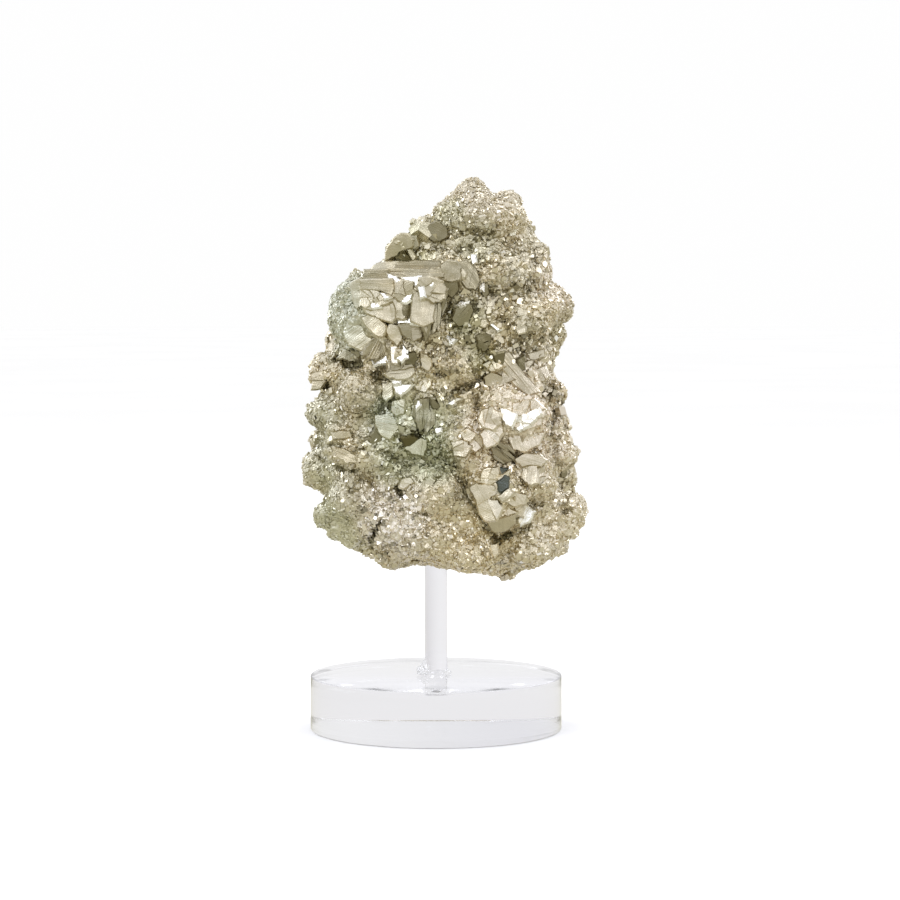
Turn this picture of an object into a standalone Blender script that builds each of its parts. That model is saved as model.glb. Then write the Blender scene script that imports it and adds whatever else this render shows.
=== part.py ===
"""Pyrite specimen on a clear acrylic pin stand, at real size, in metres, +Z up.

The specimen is one intergrown mass: a lumpy matrix with cubes, slabs and pyritohedra grown out
of it, all joined in one solid and drilled from below. It stands on a rod glued in a disc.
The front faces -Y. The origin is the centre of the disc's underside.
"""
import math
import random

import bmesh
import bpy
from mathutils import Euler, Matrix, Vector, noise

MM = 0.001

# stand, in metres
BASE_DIAMETER = 0.0889
BASE_THICKNESS = 0.01905
BASE_EDGE_BEVEL = 0.0007
BASE_HOLE_DEPTH = 0.00635
ROD_DIAMETER = 0.00794
ROD_END_BEVEL = 0.0004
SOCKET_TOP = 0.0710          # height of the drilled hole's end inside the specimen
FIT_GAP = 0.0003             # room left between pieces that touch
GLUE_WIDTH = 0.0022          # how far the cement ring reaches past the rod
GLUE_HEIGHT = 0.0014
GLUE_LOBE = (0.0020, 0.0052)  # extra width and height of the drip on the left front
GLUE_LOBE_TURN = 205.0       # degrees round from +X
GLUE_LOBE_SPREAD = 38.0

# specimen matrix
VOXEL = 0.0015
SMOOTH_PASSES = 3
RELIEF = ((0.0110, 0.0011), (0.0045, 0.0009))  # cell size and height of the surface relief
MATRIX_FACES = 2750
SEED = 11

# Heights of the matrix's core with its left, right, front and back reach, in millimetres.
CORE = (
    (57, -9, 27, -15, 13),
    (62, -22, 38, -23, 20),
    (70, -34, 44, -28, 26),
    (80, -38, 46, -30, 30),
    (92, -40, 43, -31, 32),
    (106, -39, 41, -30, 33),
    (120, -39, 39, -29, 32),
    (132, -36, 38, -29, 31),
    (144, -35, 40, -28, 29),
    (154, -32, 39, -25, 26),
    (162, -24, 36, -21, 23),
    (168, -13, 34, -18, 20),
    (177, -4, 30, -15, 16),
    (186, 3, 25, -10, 11),
    (191, 8, 17, -5, 6),
)
CORE_SQUARENESS = 0.82
CORE_SIDES = 44

# Rounded lumps of druse that swell out of the core: name, centre and radii in millimetres.
LUMPS = (
    ("summit", (12, -1, 187), (6.5, 7, 6.5)),
    ("second_summit", (24, 0, 182), (7, 8, 6.5)),
    ("crown_front", (19, -8, 179), (13, 9, 8)),
    ("crown_right", (29, -4, 176), (5.5, 8, 5)),
    ("crown_left", (3, -5, 179), (6, 8, 6)),
    ("crown_back", (15, 8, 178), (11, 9, 9)),
    ("shoulder_knob", (-5, -4, 177), (3.5, 5, 3.5)),
    ("shoulder", (-11, -6, 168), (5.5, 9, 5)),
    ("shoulder_back", (-5, 8, 165), (10, 12, 8)),
    ("left_knob", (-28, -9, 160), (3.5, 6, 3)),
    ("left_breast", (-29, -10, 146.5), (9, 13, 11)),
    ("left_breast_back", (-26, 9, 146), (10, 14, 12)),
    ("left_step", (-37, -4, 127), (7.5, 10, 7)),
    ("left_mid", (-37, -6, 112), (8.5, 12, 7.5)),
    ("left_round", (-41, -3, 91), (6.5, 9, 7)),
    ("left_foot", (-35.5, -6, 75), (7.5, 9, 6.5)),
    ("left_heel", (-24, -8, 65), (8, 9, 5)),
    ("keel_left", (-13, -10, 61), (9, 11, 5.5)),
    ("belly_round", (-26, -24, 119), (8.5, 9, 8.5)),
    ("belly_left", (-24, -22, 98), (10, 10, 8)),
    ("belly_low", (-30, -20, 83), (9, 9, 7)),
    ("skirt_left", (-17, -21, 76), (10, 9, 9)),
    ("skirt_mid", (-4, -24, 70), (11, 10, 8)),
    ("skirt_centre", (-3, -25, 84), (11, 9, 8)),
    ("skirt_right", (12, -23, 64), (10, 10, 6)),
    ("skirt_tip", (21, -4, 58), (8, 12, 4.5)),
    ("skirt_far", (33, -16, 66), (10, 10, 7)),
    ("right_lobe", (45.5, -7, 78), (8.5, 10, 7)),
    ("right_lobe_low", (40, -2, 66), (9, 11, 6)),
    ("right_knuckle", (43, -4, 96), (6, 9, 5.5)),
    ("right_mid", (40, -6, 108), (6.5, 9, 6)),
    ("right_mid_high", (39.5, -6, 119), (6.5, 9, 5.5)),
    ("right_waist", (35, -9, 130), (7, 11, 8)),
    ("right_bump", (40, -5, 149), (6.5, 10, 6)),
    ("right_shoulder", (34.5, -6, 160), (7, 10, 7)),
    ("right_shoulder_high", (33.5, -5, 168), (6, 9, 5)),
    ("druse_high", (24, -17, 158), (11, 9, 10)),
    ("druse_mid", (31, -18, 145), (10, 10, 9)),
    ("druse_low", (6, -23, 129), (9, 9, 7)),
    ("druse_belly", (22, -23, 117), (11, 9, 8)),
    ("waist_centre", (3, -24, 117), (9, 8, 7)),
    ("knee_right", (32, -20, 92), (9, 9, 9)),
    ("back_high", (14, 17, 160), (15, 10, 14)),
    ("back_left", (-20, 20, 132), (14, 12, 14)),
    ("back_right", (24, 21, 134), (14, 11, 15)),
    ("back_mid", (2, 25, 116), (15, 9, 13)),
    ("back_low_left", (-24, 20, 96), (15, 12, 14)),
    ("back_low_right", (27, 21, 94), (15, 12, 14)),
    ("back_skirt", (2, 20, 76), (18, 12, 13)),
    ("back_skirt_right", (31, 14, 72), (12, 12, 9)),
    ("back_skirt_left", (-25, 13, 74), (12, 11, 9)),
)

# Main crystals: name, habit, edge lengths in millimetres, centre in millimetres and the turn
# in degrees (lean towards the front, roll, swing to the right).
CRYSTALS = (
    ("great_cube", "cube", (28.5, 22, 20), (-10.5, -24, 150.5), (20, 0, -14)),
    ("great_cap", "slab", (24, 17, 5.5), (-8.5, -20, 161), (13, -2, -8)),
    ("petal_left", "pyritohedron", (14, 13, 12), (-18.5, -27, 143.5), (10, -30, 25)),
    ("petal_mid", "pyritohedron", (10, 10, 11), (-9.5, -30, 140.5), (25, 15, -10)),
    ("petal_right", "cube", (9, 9, 8), (-0.5, -27.5, 142), (-10, 25, -30)),
    ("left_plate", "slab", (13, 8, 12.5), (-25.5, -23, 140), (22, 36, -22)),
    ("left_plate_side", "cube", (8, 9, 9), (-18, -24.5, 134), (5, 22, 32)),
    ("left_tall", "cube", (8, 9, 13), (-28, -19, 151.5), (6, 8, -38)),
    ("bright_crystal", "pyritohedron", (13, 13, 13), (-10.5, -28, 134), (18, 10, 12)),
    ("bright_shelf", "slab", (12, 11, 4.5), (-11.5, -28, 127), (14, 3, 6)),
    ("bright_tooth", "cube", (6, 6, 6), (-11, -29.5, 121.5), (40, 0, 45)),
    ("dome", "pyritohedron", (16, 15, 15), (7, -21, 157), (8, 20, 15)),
    ("wedge", "cube", (10, 11, 12), (11.5, -21.5, 145.5), (-12, 18, -22)),
    ("centre_crystal", "pyritohedron", (14, 13, 15), (-7.5, -24.5, 112), (0, 25, 15)),
    ("centre_spur", "cube", (9, 8, 7.5), (-6.5, -27, 103), (22, -28, 35)),
    ("strip_high", "slab", (5.5, 8, 11), (-16, -25, 119.5), (8, -14, 22)),
    ("strip_low", "cube", (9, 8, 8.5), (-17.5, -25, 111), (30, 22, -20)),
    ("dark_face", "cube", (9.5, 9, 8.5), (18, -23.5, 137.5), (-15, 12, 20)),
    ("blade", "slab", (7, 9, 20), (29.5, -22.5, 127), (6, -40, 8)),
    ("blade_chip", "cube", (7.5, 7, 6.5), (35.5, -19, 126), (20, 24, 40)),
    ("mosaic_left", "cube", (12.5, 10, 11), (9.5, -25.5, 105), (10, -34, 18)),
    ("mosaic_mid", "pyritohedron", (13, 12, 14), (19.5, -26, 107.5), (15, 40, 0)),
    ("rose_face", "pyritohedron", (17, 14, 15), (31, -22, 109.5), (5, -15, 25)),
    ("dark_ledge", "slab", (12, 10, 6.5), (23, -24.5, 98.5), (-20, 14, 10)),
    ("cluster_high", "cube", (10.5, 10, 10), (17, -25.5, 87.5), (14, -20, -20)),
    ("cluster_main", "pyritohedron", (12, 11, 12), (18.5, -26.5, 79.5), (10, 0, -12)),
    ("cluster_right", "cube", (9.5, 9, 9), (26.5, -26, 83.5), (20, 12, 26)),
    ("cluster_ink", "cube", (5.5, 6, 6), (23.5, -30.5, 88), (0, 14, -32)),
    ("cluster_rose", "slab", (10, 9, 6.5), (32.5, -25, 95.5), (22, -10, 20)),
    ("cluster_side", "cube", (7.5, 7.5, 7), (29.5, -25, 78), (15, 30, 10)),
    ("cluster_foot", "cube", (12, 9, 8.5), (21, -25, 73.5), (-14, 20, 4)),
    ("shoulder_low", "pyritohedron", (10.5, 10, 10), (-11.5, -13.5, 168.5), (20, 15, -20)),
    ("shoulder_high", "pyritohedron", (9, 8, 8), (-4.5, -12.5, 175), (10, 35, 10)),
    ("druse_block", "pyritohedron", (9, 9, 8), (20, -24.5, 131), (35, 5, 30)),
    ("druse_bead", "pyritohedron", (5.5, 5.5, 6.5), (-1, -29, 128), (0, 20, 0)),
    ("lens_left", "slab", (13, 7, 5), (-33, -23.5, 98), (18, 24, -18)),
    ("left_tooth", "cube", (8, 8, 5.5), (-40, -9, 124.5), (10, -12, -30)),
    ("left_block", "cube", (10, 8, 6.5), (-33, -22, 106), (8, 6, -20)),
    ("belly_chip", "cube", (4.5, 5, 5), (-11.5, -30.5, 87.5), (30, 30, 20)),
    ("right_block", "cube", (8, 8, 7), (38, -19.5, 88), (15, 20, 30)),
    ("heel_block", "cube", (7, 7, 7), (42.5, -13.5, 71), (10, 40, 30)),
    ("side_left_cube", "cube", (12, 13, 11), (-31, 9, 134), (12, 20, 40)),
    ("side_left_slab", "slab", (10, 14, 6), (-36, 8, 103), (20, -15, -50)),
    ("side_right_cube", "cube", (12, 12, 13), (38, 9, 138), (0, 30, 35)),
    ("side_right_low", "pyritohedron", (14, 14, 13), (41, 11, 88), (25, 10, 15)),
    ("back_cube", "cube", (19, 17, 16), (9, 25, 139), (-16, 8, 28)),
    ("back_twin", "cube", (13, 13, 12), (-7, 27, 129), (-30, 25, -14)),
    ("back_slab", "slab", (15, 14, 6), (-22, 25, 113), (-22, -20, 20)),
    ("back_pyrite", "pyritohedron", (17, 16, 16), (16, 28, 106), (12, 30, 8)),
    ("back_low_cube", "cube", (13, 12, 13), (-11, 27, 88), (-12, 40, 30)),
    ("back_foot", "cube", (11, 11, 10), (26, 24, 78), (20, 15, -25)),
)

# Crystals strewn over the matrix: how many, their edge lengths in mm and how deep they sink in.
STREWN = 80
STREWN_EDGE = (3.5, 7.5)
STREWN_SINK = (0.20, 0.36)
STREWN_SPACING = 0.0062
STREWN_CLEAR_OF_MAIN = 0.62   # of a main crystal's longest edge
SOCKET_CLEARANCE = 0.013      # bare matrix kept round the rod


def clear_scene():
    for item in list(bpy.data.objects):
        bpy.data.objects.remove(item, do_unlink=True)


def principled(name, colour, roughness, metallic, transmission=0.0, ior=1.45):
    material = bpy.data.materials.new(name)
    material.use_nodes = True
    shader = material.node_tree.nodes["Principled BSDF"]
    shader.inputs["Base Color"].default_value = (*colour, 1.0)
    shader.inputs["Roughness"].default_value = roughness
    shader.inputs["Metallic"].default_value = metallic
    shader.inputs["Transmission Weight"].default_value = transmission
    shader.inputs["IOR"].default_value = ior
    return material


def link_mesh(name, bm):
    mesh = bpy.data.meshes.new(name)
    bm.to_mesh(mesh)
    bm.free()
    item = bpy.data.objects.new(name, mesh)
    bpy.context.collection.objects.link(item)
    return item


def hide_cutter(item):
    item.hide_render = True
    item.display_type = "WIRE"


def evaluated_copy(item, name):
    """The item's mesh with its modifiers applied, as a new object; the item is removed."""
    bpy.context.view_layer.update()
    seen = item.evaluated_get(bpy.context.evaluated_depsgraph_get())
    mesh = bpy.data.meshes.new_from_object(seen)
    mesh.name = name
    bpy.data.objects.remove(item, do_unlink=True)
    result = bpy.data.objects.new(name, mesh)
    bpy.context.collection.objects.link(result)
    return result


# ---- the stand -------------------------------------------------------------------------------

def turned(name, profile, steps):
    """A closed solid turned about Z from (radius, height) points that start and end on the axis."""
    bm = bmesh.new()
    points = [bm.verts.new((radius, 0.0, height)) for radius, height in profile]
    edges = [bm.edges.new(pair) for pair in zip(points, points[1:])]
    bmesh.ops.spin(bm, geom=points + edges, cent=(0, 0, 0), axis=(0, 0, 1),
                   angle=math.tau, steps=steps, use_merge=True)
    bmesh.ops.remove_doubles(bm, verts=bm.verts, dist=1e-6)
    bmesh.ops.recalc_face_normals(bm, faces=bm.faces)
    return link_mesh(name, bm)


def smooth_sides(item):
    item.data.shade_smooth()
    item.data.set_sharp_from_angle(angle=math.radians(30))


def make_base():
    radius = BASE_DIAMETER / 2
    edge = BASE_EDGE_BEVEL
    hole = ROD_DIAMETER / 2 + FIT_GAP
    floor = BASE_THICKNESS - BASE_HOLE_DEPTH
    profile = [
        (0, 0), (radius - edge, 0), (radius, edge),
        (radius, BASE_THICKNESS - edge), (radius - edge, BASE_THICKNESS),
        (hole, BASE_THICKNESS), (hole, floor), (0, floor),
    ]
    base = turned("base", profile, 72)
    smooth_sides(base)
    base.data.materials.append(principled("acrylic", (0.97, 0.97, 0.98), 0.04, 0.0, 1.0, 1.49))
    return base


def make_rod():
    radius = ROD_DIAMETER / 2
    edge = ROD_END_BEVEL
    bottom = BASE_THICKNESS - BASE_HOLE_DEPTH + FIT_GAP
    top = SOCKET_TOP - FIT_GAP
    profile = [
        (0, bottom), (radius - edge, bottom), (radius, bottom + edge),
        (radius, top - edge), (radius - edge, top), (0, top),
    ]
    rod = turned("rod", profile, 36)
    smooth_sides(rod)
    rod.data.materials.append(principled("rod_acrylic", (0.97, 0.97, 0.98), 0.05, 0.0, 1.0, 1.49))
    return rod


def make_glue_bead():
    """A low ring of cement round the rod's foot, with one drip standing up on the left front."""
    inner = ROD_DIAMETER / 2 + FIT_GAP
    bottom = BASE_THICKNESS + FIT_GAP
    steps = 36
    bm = bmesh.new()
    rings = []
    for step in range(steps):
        turn = math.tau * step / steps
        off = (math.degrees(turn) - GLUE_LOBE_TURN + 180) % 360 - 180
        lobe = math.exp(-(off / GLUE_LOBE_SPREAD) ** 2)
        ripple = 1 + 0.12 * math.sin(3 * turn + 1) + 0.08 * math.sin(7 * turn)
        width = GLUE_WIDTH * ripple + GLUE_LOBE[0] * lobe
        height = GLUE_HEIGHT * ripple + GLUE_LOBE[1] * lobe
        section = [
            (inner, bottom), (inner + width, bottom), (inner + 0.93 * width, bottom + 0.22 * height),
            (inner + 0.62 * width, bottom + 0.52 * height), (inner + 0.30 * width, bottom + 0.88 * height),
            (inner, bottom + height),
        ]
        across = Vector((math.cos(turn), math.sin(turn), 0))
        rings.append([bm.verts.new(across * reach + Vector((0, 0, up))) for reach, up in section])
    for ring, following in zip(rings, rings[1:] + rings[:1]):
        for i in range(len(ring)):
            j = (i + 1) % len(ring)
            bm.faces.new((ring[i], following[i], following[j], ring[j]))
    bmesh.ops.recalc_face_normals(bm, faces=bm.faces)
    bead = link_mesh("glue_bead", bm)
    bead.data.shade_smooth()
    bead.data.materials.append(principled("cement", (0.96, 0.97, 0.96), 0.08, 0.0, 1.0, 1.48))
    return bead


# ---- the specimen ----------------------------------------------------------------------------

def core_ring(bm, row):
    height, left, right, front, back = (value * MM for value in row)
    centre = (left + right) / 2
    ring = []
    for side in range(CORE_SIDES):
        turn = math.tau * side / CORE_SIDES
        across, deep = math.cos(turn), math.sin(turn)
        x = centre + math.copysign(abs(across) ** CORE_SQUARENESS, across) * (right - left) / 2
        reach = back if deep > 0 else -front
        y = math.copysign(abs(deep) ** CORE_SQUARENESS, deep) * reach
        ring.append(bm.verts.new((x, y, height)))
    return ring


def make_matrix():
    """The core and its lumps, fused by a voxel remesh and roughened."""
    bm = bmesh.new()
    rings = [core_ring(bm, row) for row in CORE]
    for lower, upper in zip(rings, rings[1:]):
        for i in range(CORE_SIDES):
            j = (i + 1) % CORE_SIDES
            bm.faces.new((lower[i], lower[j], upper[j], upper[i]))
    bm.faces.new(list(reversed(rings[0])))
    bm.faces.new(rings[-1])
    for _, centre, radii in LUMPS:
        place = Matrix.LocRotScale(Vector(centre) * MM, None, Vector(radii) * MM)
        bmesh.ops.create_icosphere(bm, subdivisions=3, radius=1.0, matrix=place)
    matrix = link_mesh("matrix", bm)
    fuse = matrix.modifiers.new("fuse", "REMESH")
    fuse.mode = "VOXEL"
    fuse.voxel_size = VOXEL
    settle = matrix.modifiers.new("settle", "SMOOTH")
    settle.iterations = SMOOTH_PASSES
    settle.factor = 0.5
    matrix = evaluated_copy(matrix, "matrix")
    roughen(matrix.data)
    thin = matrix.modifiers.new("thin", "DECIMATE")
    thin.ratio = MATRIX_FACES / sum(len(face.vertices) - 2 for face in matrix.data.polygons)
    return evaluated_copy(matrix, "matrix")


def roughen(mesh):
    """Moves each point along its normal by the height of the grain cell that it lies in."""
    normals = [vertex.normal.copy() for vertex in mesh.vertices]
    for vertex, normal in zip(mesh.vertices, normals):
        away = 0.0
        for size, height in RELIEF:
            cell = vertex.co / size + Vector((SEED, 3, 7))
            near, _ = noise.voronoi(cell)
            away += height * (0.9 - 1.6 * near[0] + 0.4 * noise.noise(cell * 2))
        vertex.co += normal * away


def habit_points(habit):
    """Corner points of a crystal of unit edge length, to be closed by a convex hull."""
    signs = (-1, 1)
    corners = [Vector((a, b, c)) / 2 for a in signs for b in signs for c in signs]
    if habit == "slab":
        return corners
    if habit == "cube":
        cut = 0.07
        points = []
        for corner in corners:
            for axis in range(3):
                point = corner.copy()
                point[axis] *= 1 - 2 * cut
                points.append(point)
        return points
    points = [corner * 0.80 for corner in corners]
    for a in signs:
        for b in signs:
            tip = Vector((0, a * 0.54, b * 0.28))
            points += [tip, Vector((tip.z, tip.x, tip.y)), Vector((tip.y, tip.z, tip.x))]
    return points


def add_crystal(bm, habit, edges, place, turn):
    """Adds one convex crystal, with its flat faces whole, to the mesh being built."""
    move = Matrix.LocRotScale(place, turn, Vector(edges))
    points = [bm.verts.new(move @ point) for point in habit_points(habit)]
    made = bmesh.ops.convex_hull(bm, input=points, use_existing_faces=False)
    faces = [item for item in made["geom"] if isinstance(item, bmesh.types.BMFace)]
    edges = list({edge for face in faces for edge in face.edges})
    verts = list({vert for face in faces for vert in face.verts})
    bmesh.ops.dissolve_limit(bm, angle_limit=math.radians(1), verts=verts, edges=edges)


def main_crystals():
    for name, habit, edges, centre, turn in CRYSTALS:
        angles = Euler([math.radians(angle) for angle in turn])
        yield name, habit, Vector(edges) * MM, Vector(centre) * MM, angles.to_quaternion()


def strewn_crystals(matrix):
    """Smaller crystals at seeded places on the matrix, clear of the main ones and of the rod."""
    draw = random.Random(SEED)
    faces = list(matrix.data.polygons)
    weights = [face.area for face in faces]
    main = [(place, max(edges)) for _, _, edges, place, _ in main_crystals()]
    taken = []
    while len(taken) < STREWN:
        face = draw.choices(faces, weights)[0]
        place = face.center.copy()
        size = draw.uniform(*STREWN_EDGE) * MM * draw.uniform(0.75, 1.0)
        sink = draw.uniform(*STREWN_SINK)
        turn = Euler([draw.uniform(0, math.tau) for _ in range(3)]).to_quaternion()
        habit = draw.choice(("cube", "slab", "slab", "pyritohedron"))
        shape = Vector([size * draw.uniform(0.7, 1.15) for _ in range(3)])
        near_rod = place.xy.length < SOCKET_CLEARANCE and place.z < SOCKET_TOP
        crowded = any((place - other).length < STREWN_SPACING for other in taken)
        on_main = any((place - spot).length < STREWN_CLEAR_OF_MAIN * reach for spot, reach in main)
        if near_rod or crowded or on_main:
            continue
        taken.append(place)
        yield habit, shape, place - face.normal * size * sink, turn


def largest_shell(mesh):
    """Keeps the outer skin and drops any pocket closed off inside it."""
    bm = bmesh.new()
    bm.from_mesh(mesh)
    bmesh.ops.remove_doubles(bm, verts=bm.verts, dist=2e-6)
    bmesh.ops.dissolve_degenerate(bm, dist=2e-6, edges=bm.edges)
    left = set(bm.verts)
    shells = []
    while left:
        front = [left.pop()]
        shell = set(front)
        while front:
            for edge in front.pop().link_edges:
                for vert in edge.verts:
                    if vert in left:
                        left.discard(vert)
                        shell.add(vert)
                        front.append(vert)
        shells.append(shell)
    shells.sort(key=len)
    for shell in shells[:-1]:
        bmesh.ops.delete(bm, geom=list(shell), context="VERTS")
    bmesh.ops.triangulate(bm, faces=bm.faces)
    bm.to_mesh(mesh)
    bm.free()


def grow_together(matrix):
    """Unions the main and the strewn crystals with the matrix and drills the socket."""
    crystals = bpy.data.collections.new("crystals")
    bpy.context.scene.collection.children.link(crystals)
    rows = [row[1:] for row in main_crystals()] + list(strewn_crystals(matrix))
    for number, row in enumerate(rows):
        bm = bmesh.new()
        add_crystal(bm, *row)
        mesh = bpy.data.meshes.new(f"crystal_{number}")
        bm.to_mesh(mesh)
        bm.free()
        item = bpy.data.objects.new(f"crystal_{number}", mesh)
        crystals.objects.link(item)
    join = matrix.modifiers.new("join", "BOOLEAN")
    join.operation = "UNION"
    join.solver = "EXACT"
    join.operand_type = "COLLECTION"
    join.collection = crystals
    drill = drill_cutter()
    bore = matrix.modifiers.new("bore", "BOOLEAN")
    bore.operation = "DIFFERENCE"
    bore.solver = "EXACT"
    bore.object = drill
    specimen = evaluated_copy(matrix, "pyrite")
    for item in list(crystals.objects) + [drill]:
        bpy.data.objects.remove(item, do_unlink=True)
    largest_shell(specimen.data)
    return specimen


def drill_cutter():
    below = CORE[0][0] * MM - 0.02
    bm = bmesh.new()
    middle = Matrix.Translation((0, 0, (below + SOCKET_TOP) / 2))
    radius = ROD_DIAMETER / 2 + FIT_GAP
    bmesh.ops.create_cone(bm, cap_ends=True, segments=32, radius1=radius, radius2=radius,
                          depth=SOCKET_TOP - below, matrix=middle)
    cutter = link_mesh("drill", bm)
    hide_cutter(cutter)
    return cutter


def make_pyrite():
    specimen = grow_together(make_matrix())
    specimen.data.shade_flat()
    specimen.data.materials.clear()
    specimen.data.materials.append(principled("pyrite", (0.55, 0.49, 0.34), 0.32, 1.0))
    return specimen


clear_scene()
make_base()
make_rod()
make_glue_bead()
make_pyrite()
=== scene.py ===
"""Finish of a pyrite specimen on a clear acrylic stand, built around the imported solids."""

import math
from contextlib import contextmanager

import bpy
import numpy as np
from mathutils import Euler, Matrix, Vector
from mathutils.bvhtree import BVHTree


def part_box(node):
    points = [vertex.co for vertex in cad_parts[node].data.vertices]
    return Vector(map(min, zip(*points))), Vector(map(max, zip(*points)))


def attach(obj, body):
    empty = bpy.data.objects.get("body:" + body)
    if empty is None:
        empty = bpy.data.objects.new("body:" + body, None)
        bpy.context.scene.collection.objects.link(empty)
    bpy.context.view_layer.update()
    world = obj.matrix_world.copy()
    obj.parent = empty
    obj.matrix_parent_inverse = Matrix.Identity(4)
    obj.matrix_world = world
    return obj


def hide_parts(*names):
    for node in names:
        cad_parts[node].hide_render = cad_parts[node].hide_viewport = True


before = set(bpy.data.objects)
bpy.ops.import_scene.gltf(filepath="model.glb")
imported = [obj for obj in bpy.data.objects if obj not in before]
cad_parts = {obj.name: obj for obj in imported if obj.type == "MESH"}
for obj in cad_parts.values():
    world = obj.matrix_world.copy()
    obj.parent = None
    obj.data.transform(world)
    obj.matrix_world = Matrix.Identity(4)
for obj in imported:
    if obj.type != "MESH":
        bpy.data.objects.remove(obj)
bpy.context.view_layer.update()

MM = 0.001
SEED = 23

# ---- the camera ------------------------------------------------------------------------------
CAMERA_PLACE = Vector((0.00493, -0.963, 0.1563))
CAMERA_DIP = math.radians(3.43)
LENS = 109.4
SENSOR = 36.0
SIGHT_WIDTH = 900              # sight units across the view, from its upper left corner
SIGHT_MIDDLE = SIGHT_WIDTH / 2
FOCAL = LENS / SENSOR * SIGHT_WIDTH
CAMERA_TILT = Matrix.Rotation(-CAMERA_DIP, 3, "X")

# ---- the stand, in metres --------------------------------------------------------------------
FIT_GAP = 0.0003
EDGE_BEVEL = 0.0004            # of the disc's rims and the rod's ends

# Drips of cement at the rod's foot: turn in degrees, then out from the joint, up and size, in
# millimetres.
DRIPS = ((205, 1.2, 0.9, 1.9), (222, 1.3, 1.6, 1.5), (188, 1.4, 1.4, 1.4), (208, 0.7, 3.0, 1.3),
         (214, 0.6, 4.3, 1.0), (232, 0.8, 2.7, 0.9), (40, 0.5, 0.3, 1.0), (110, 0.5, 0.3, 0.9),
         (320, 0.5, 0.3, 1.0))
BEAD_VOXEL = 0.16 * MM
ACRYLIC = ((0.975, 0.975, 0.985), 1.49)  # colour and refraction
CEMENT = ((0.97, 0.975, 0.97), 1.48)

# ---- the room --------------------------------------------------------------------------------
BACKDROP = (0.995, 0.995, 0.995)        # what the camera sees behind the object
ROOM_LIGHT = (1.12, 1.12, 1.12)         # what matt surfaces are lit by
ROOM_BELOW = (0.76, 0.74, 0.62)         # what polished surfaces mirror, low, level and high
ROOM_LEVEL = (0.93, 0.93, 0.93)
ROOM_ABOVE = (1.09, 1.10, 1.16)
CLEAR_LEFT = (0.79, 0.79, 0.825)        # what shows through clear plastic, to the left and right
CLEAR_RIGHT = (0.87, 0.87, 0.885)
CLEAR_FLOOR_LEFT = (0.885, 0.88, 0.895)
CLEAR_FLOOR_RIGHT = (0.73, 0.72, 0.735)

# Lamps: name, place in metres, height they point at over the foot, size, power in watts, and
# whether clear plastic shows them.
LAMP_COLOUR = (0.96, 0.98, 1.10)
LAMPS = (
    ("key_left", (-0.55, -0.75, 0.75), 0.11, (0.42, 0.42), 1.6, True),
    ("key_right", (0.75, -0.55, 0.45), 0.11, (0.30, 0.5), 1.2, True),
    ("top", (0.05, -0.05, 1.0), 0.1, (0.5, 0.5), 1.8, True),
    ("rear_left", (-0.7, 0.6, 0.5), 0.11, (0.35, 0.6), 2.0, False),
    ("rear_right", (0.55, 0.75, 0.6), 0.11, (0.45, 0.45), 2.0, False),
)

# ---- the specimen ----------------------------------------------------------------------------
BODY_VOXEL = 0.78 * MM
CRYSTAL_GROWTH = 0.7 * MM      # how much a finished crystal stands proud of the solid it covers

# Main crystals: name, habit, edge lengths in millimetres, centre in millimetres, the turn in
# degrees (lean towards the front, roll, swing to the right), growth plates and satellites.
CRYSTALS = (
    ("shoulder_high", "pyritohedron", (9, 8, 8), (-4.5, -12.5, 175), (10, 35, 10), 0, 3),
    ("left_tooth", "cube", (6, 6, 4), (-39.5, -9, 124.5), (10, -12, -30), 2, 1),
    ("side_left_cube", "cube", (12, 13, 11), (-31, 9, 134), (12, 20, 40), 10, 3),
    ("side_left_slab", "slab", (10, 14, 6), (-36, 8, 103), (20, -15, -50), 8, 1),
    ("side_right_cube", "cube", (10, 10, 11), (37, 10, 138), (0, 30, 35), 10, 3),
    ("side_right_low", "pyritohedron", (14, 14, 13), (41, 11, 88), (25, 10, 15), 0, 6),
    ("back_cube", "cube", (19, 17, 16), (9, 25, 139), (-16, 8, 28), 26, 4),
    ("back_twin", "cube", (13, 13, 12), (-7, 27, 129), (-30, 25, -14), 12, 3),
    ("back_slab", "slab", (15, 14, 6), (-22, 25, 113), (-22, -20, 20), 10, 1),
    ("back_pyrite", "pyritohedron", (17, 16, 16), (16, 28, 106), (12, 30, 8), 0, 8),
    ("back_low_cube", "cube", (13, 12, 13), (-11, 27, 88), (-12, 40, 30), 12, 3),
    ("back_foot", "cube", (11, 11, 10), (26, 24, 78), (20, 15, -25), 9, 2),
)

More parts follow.
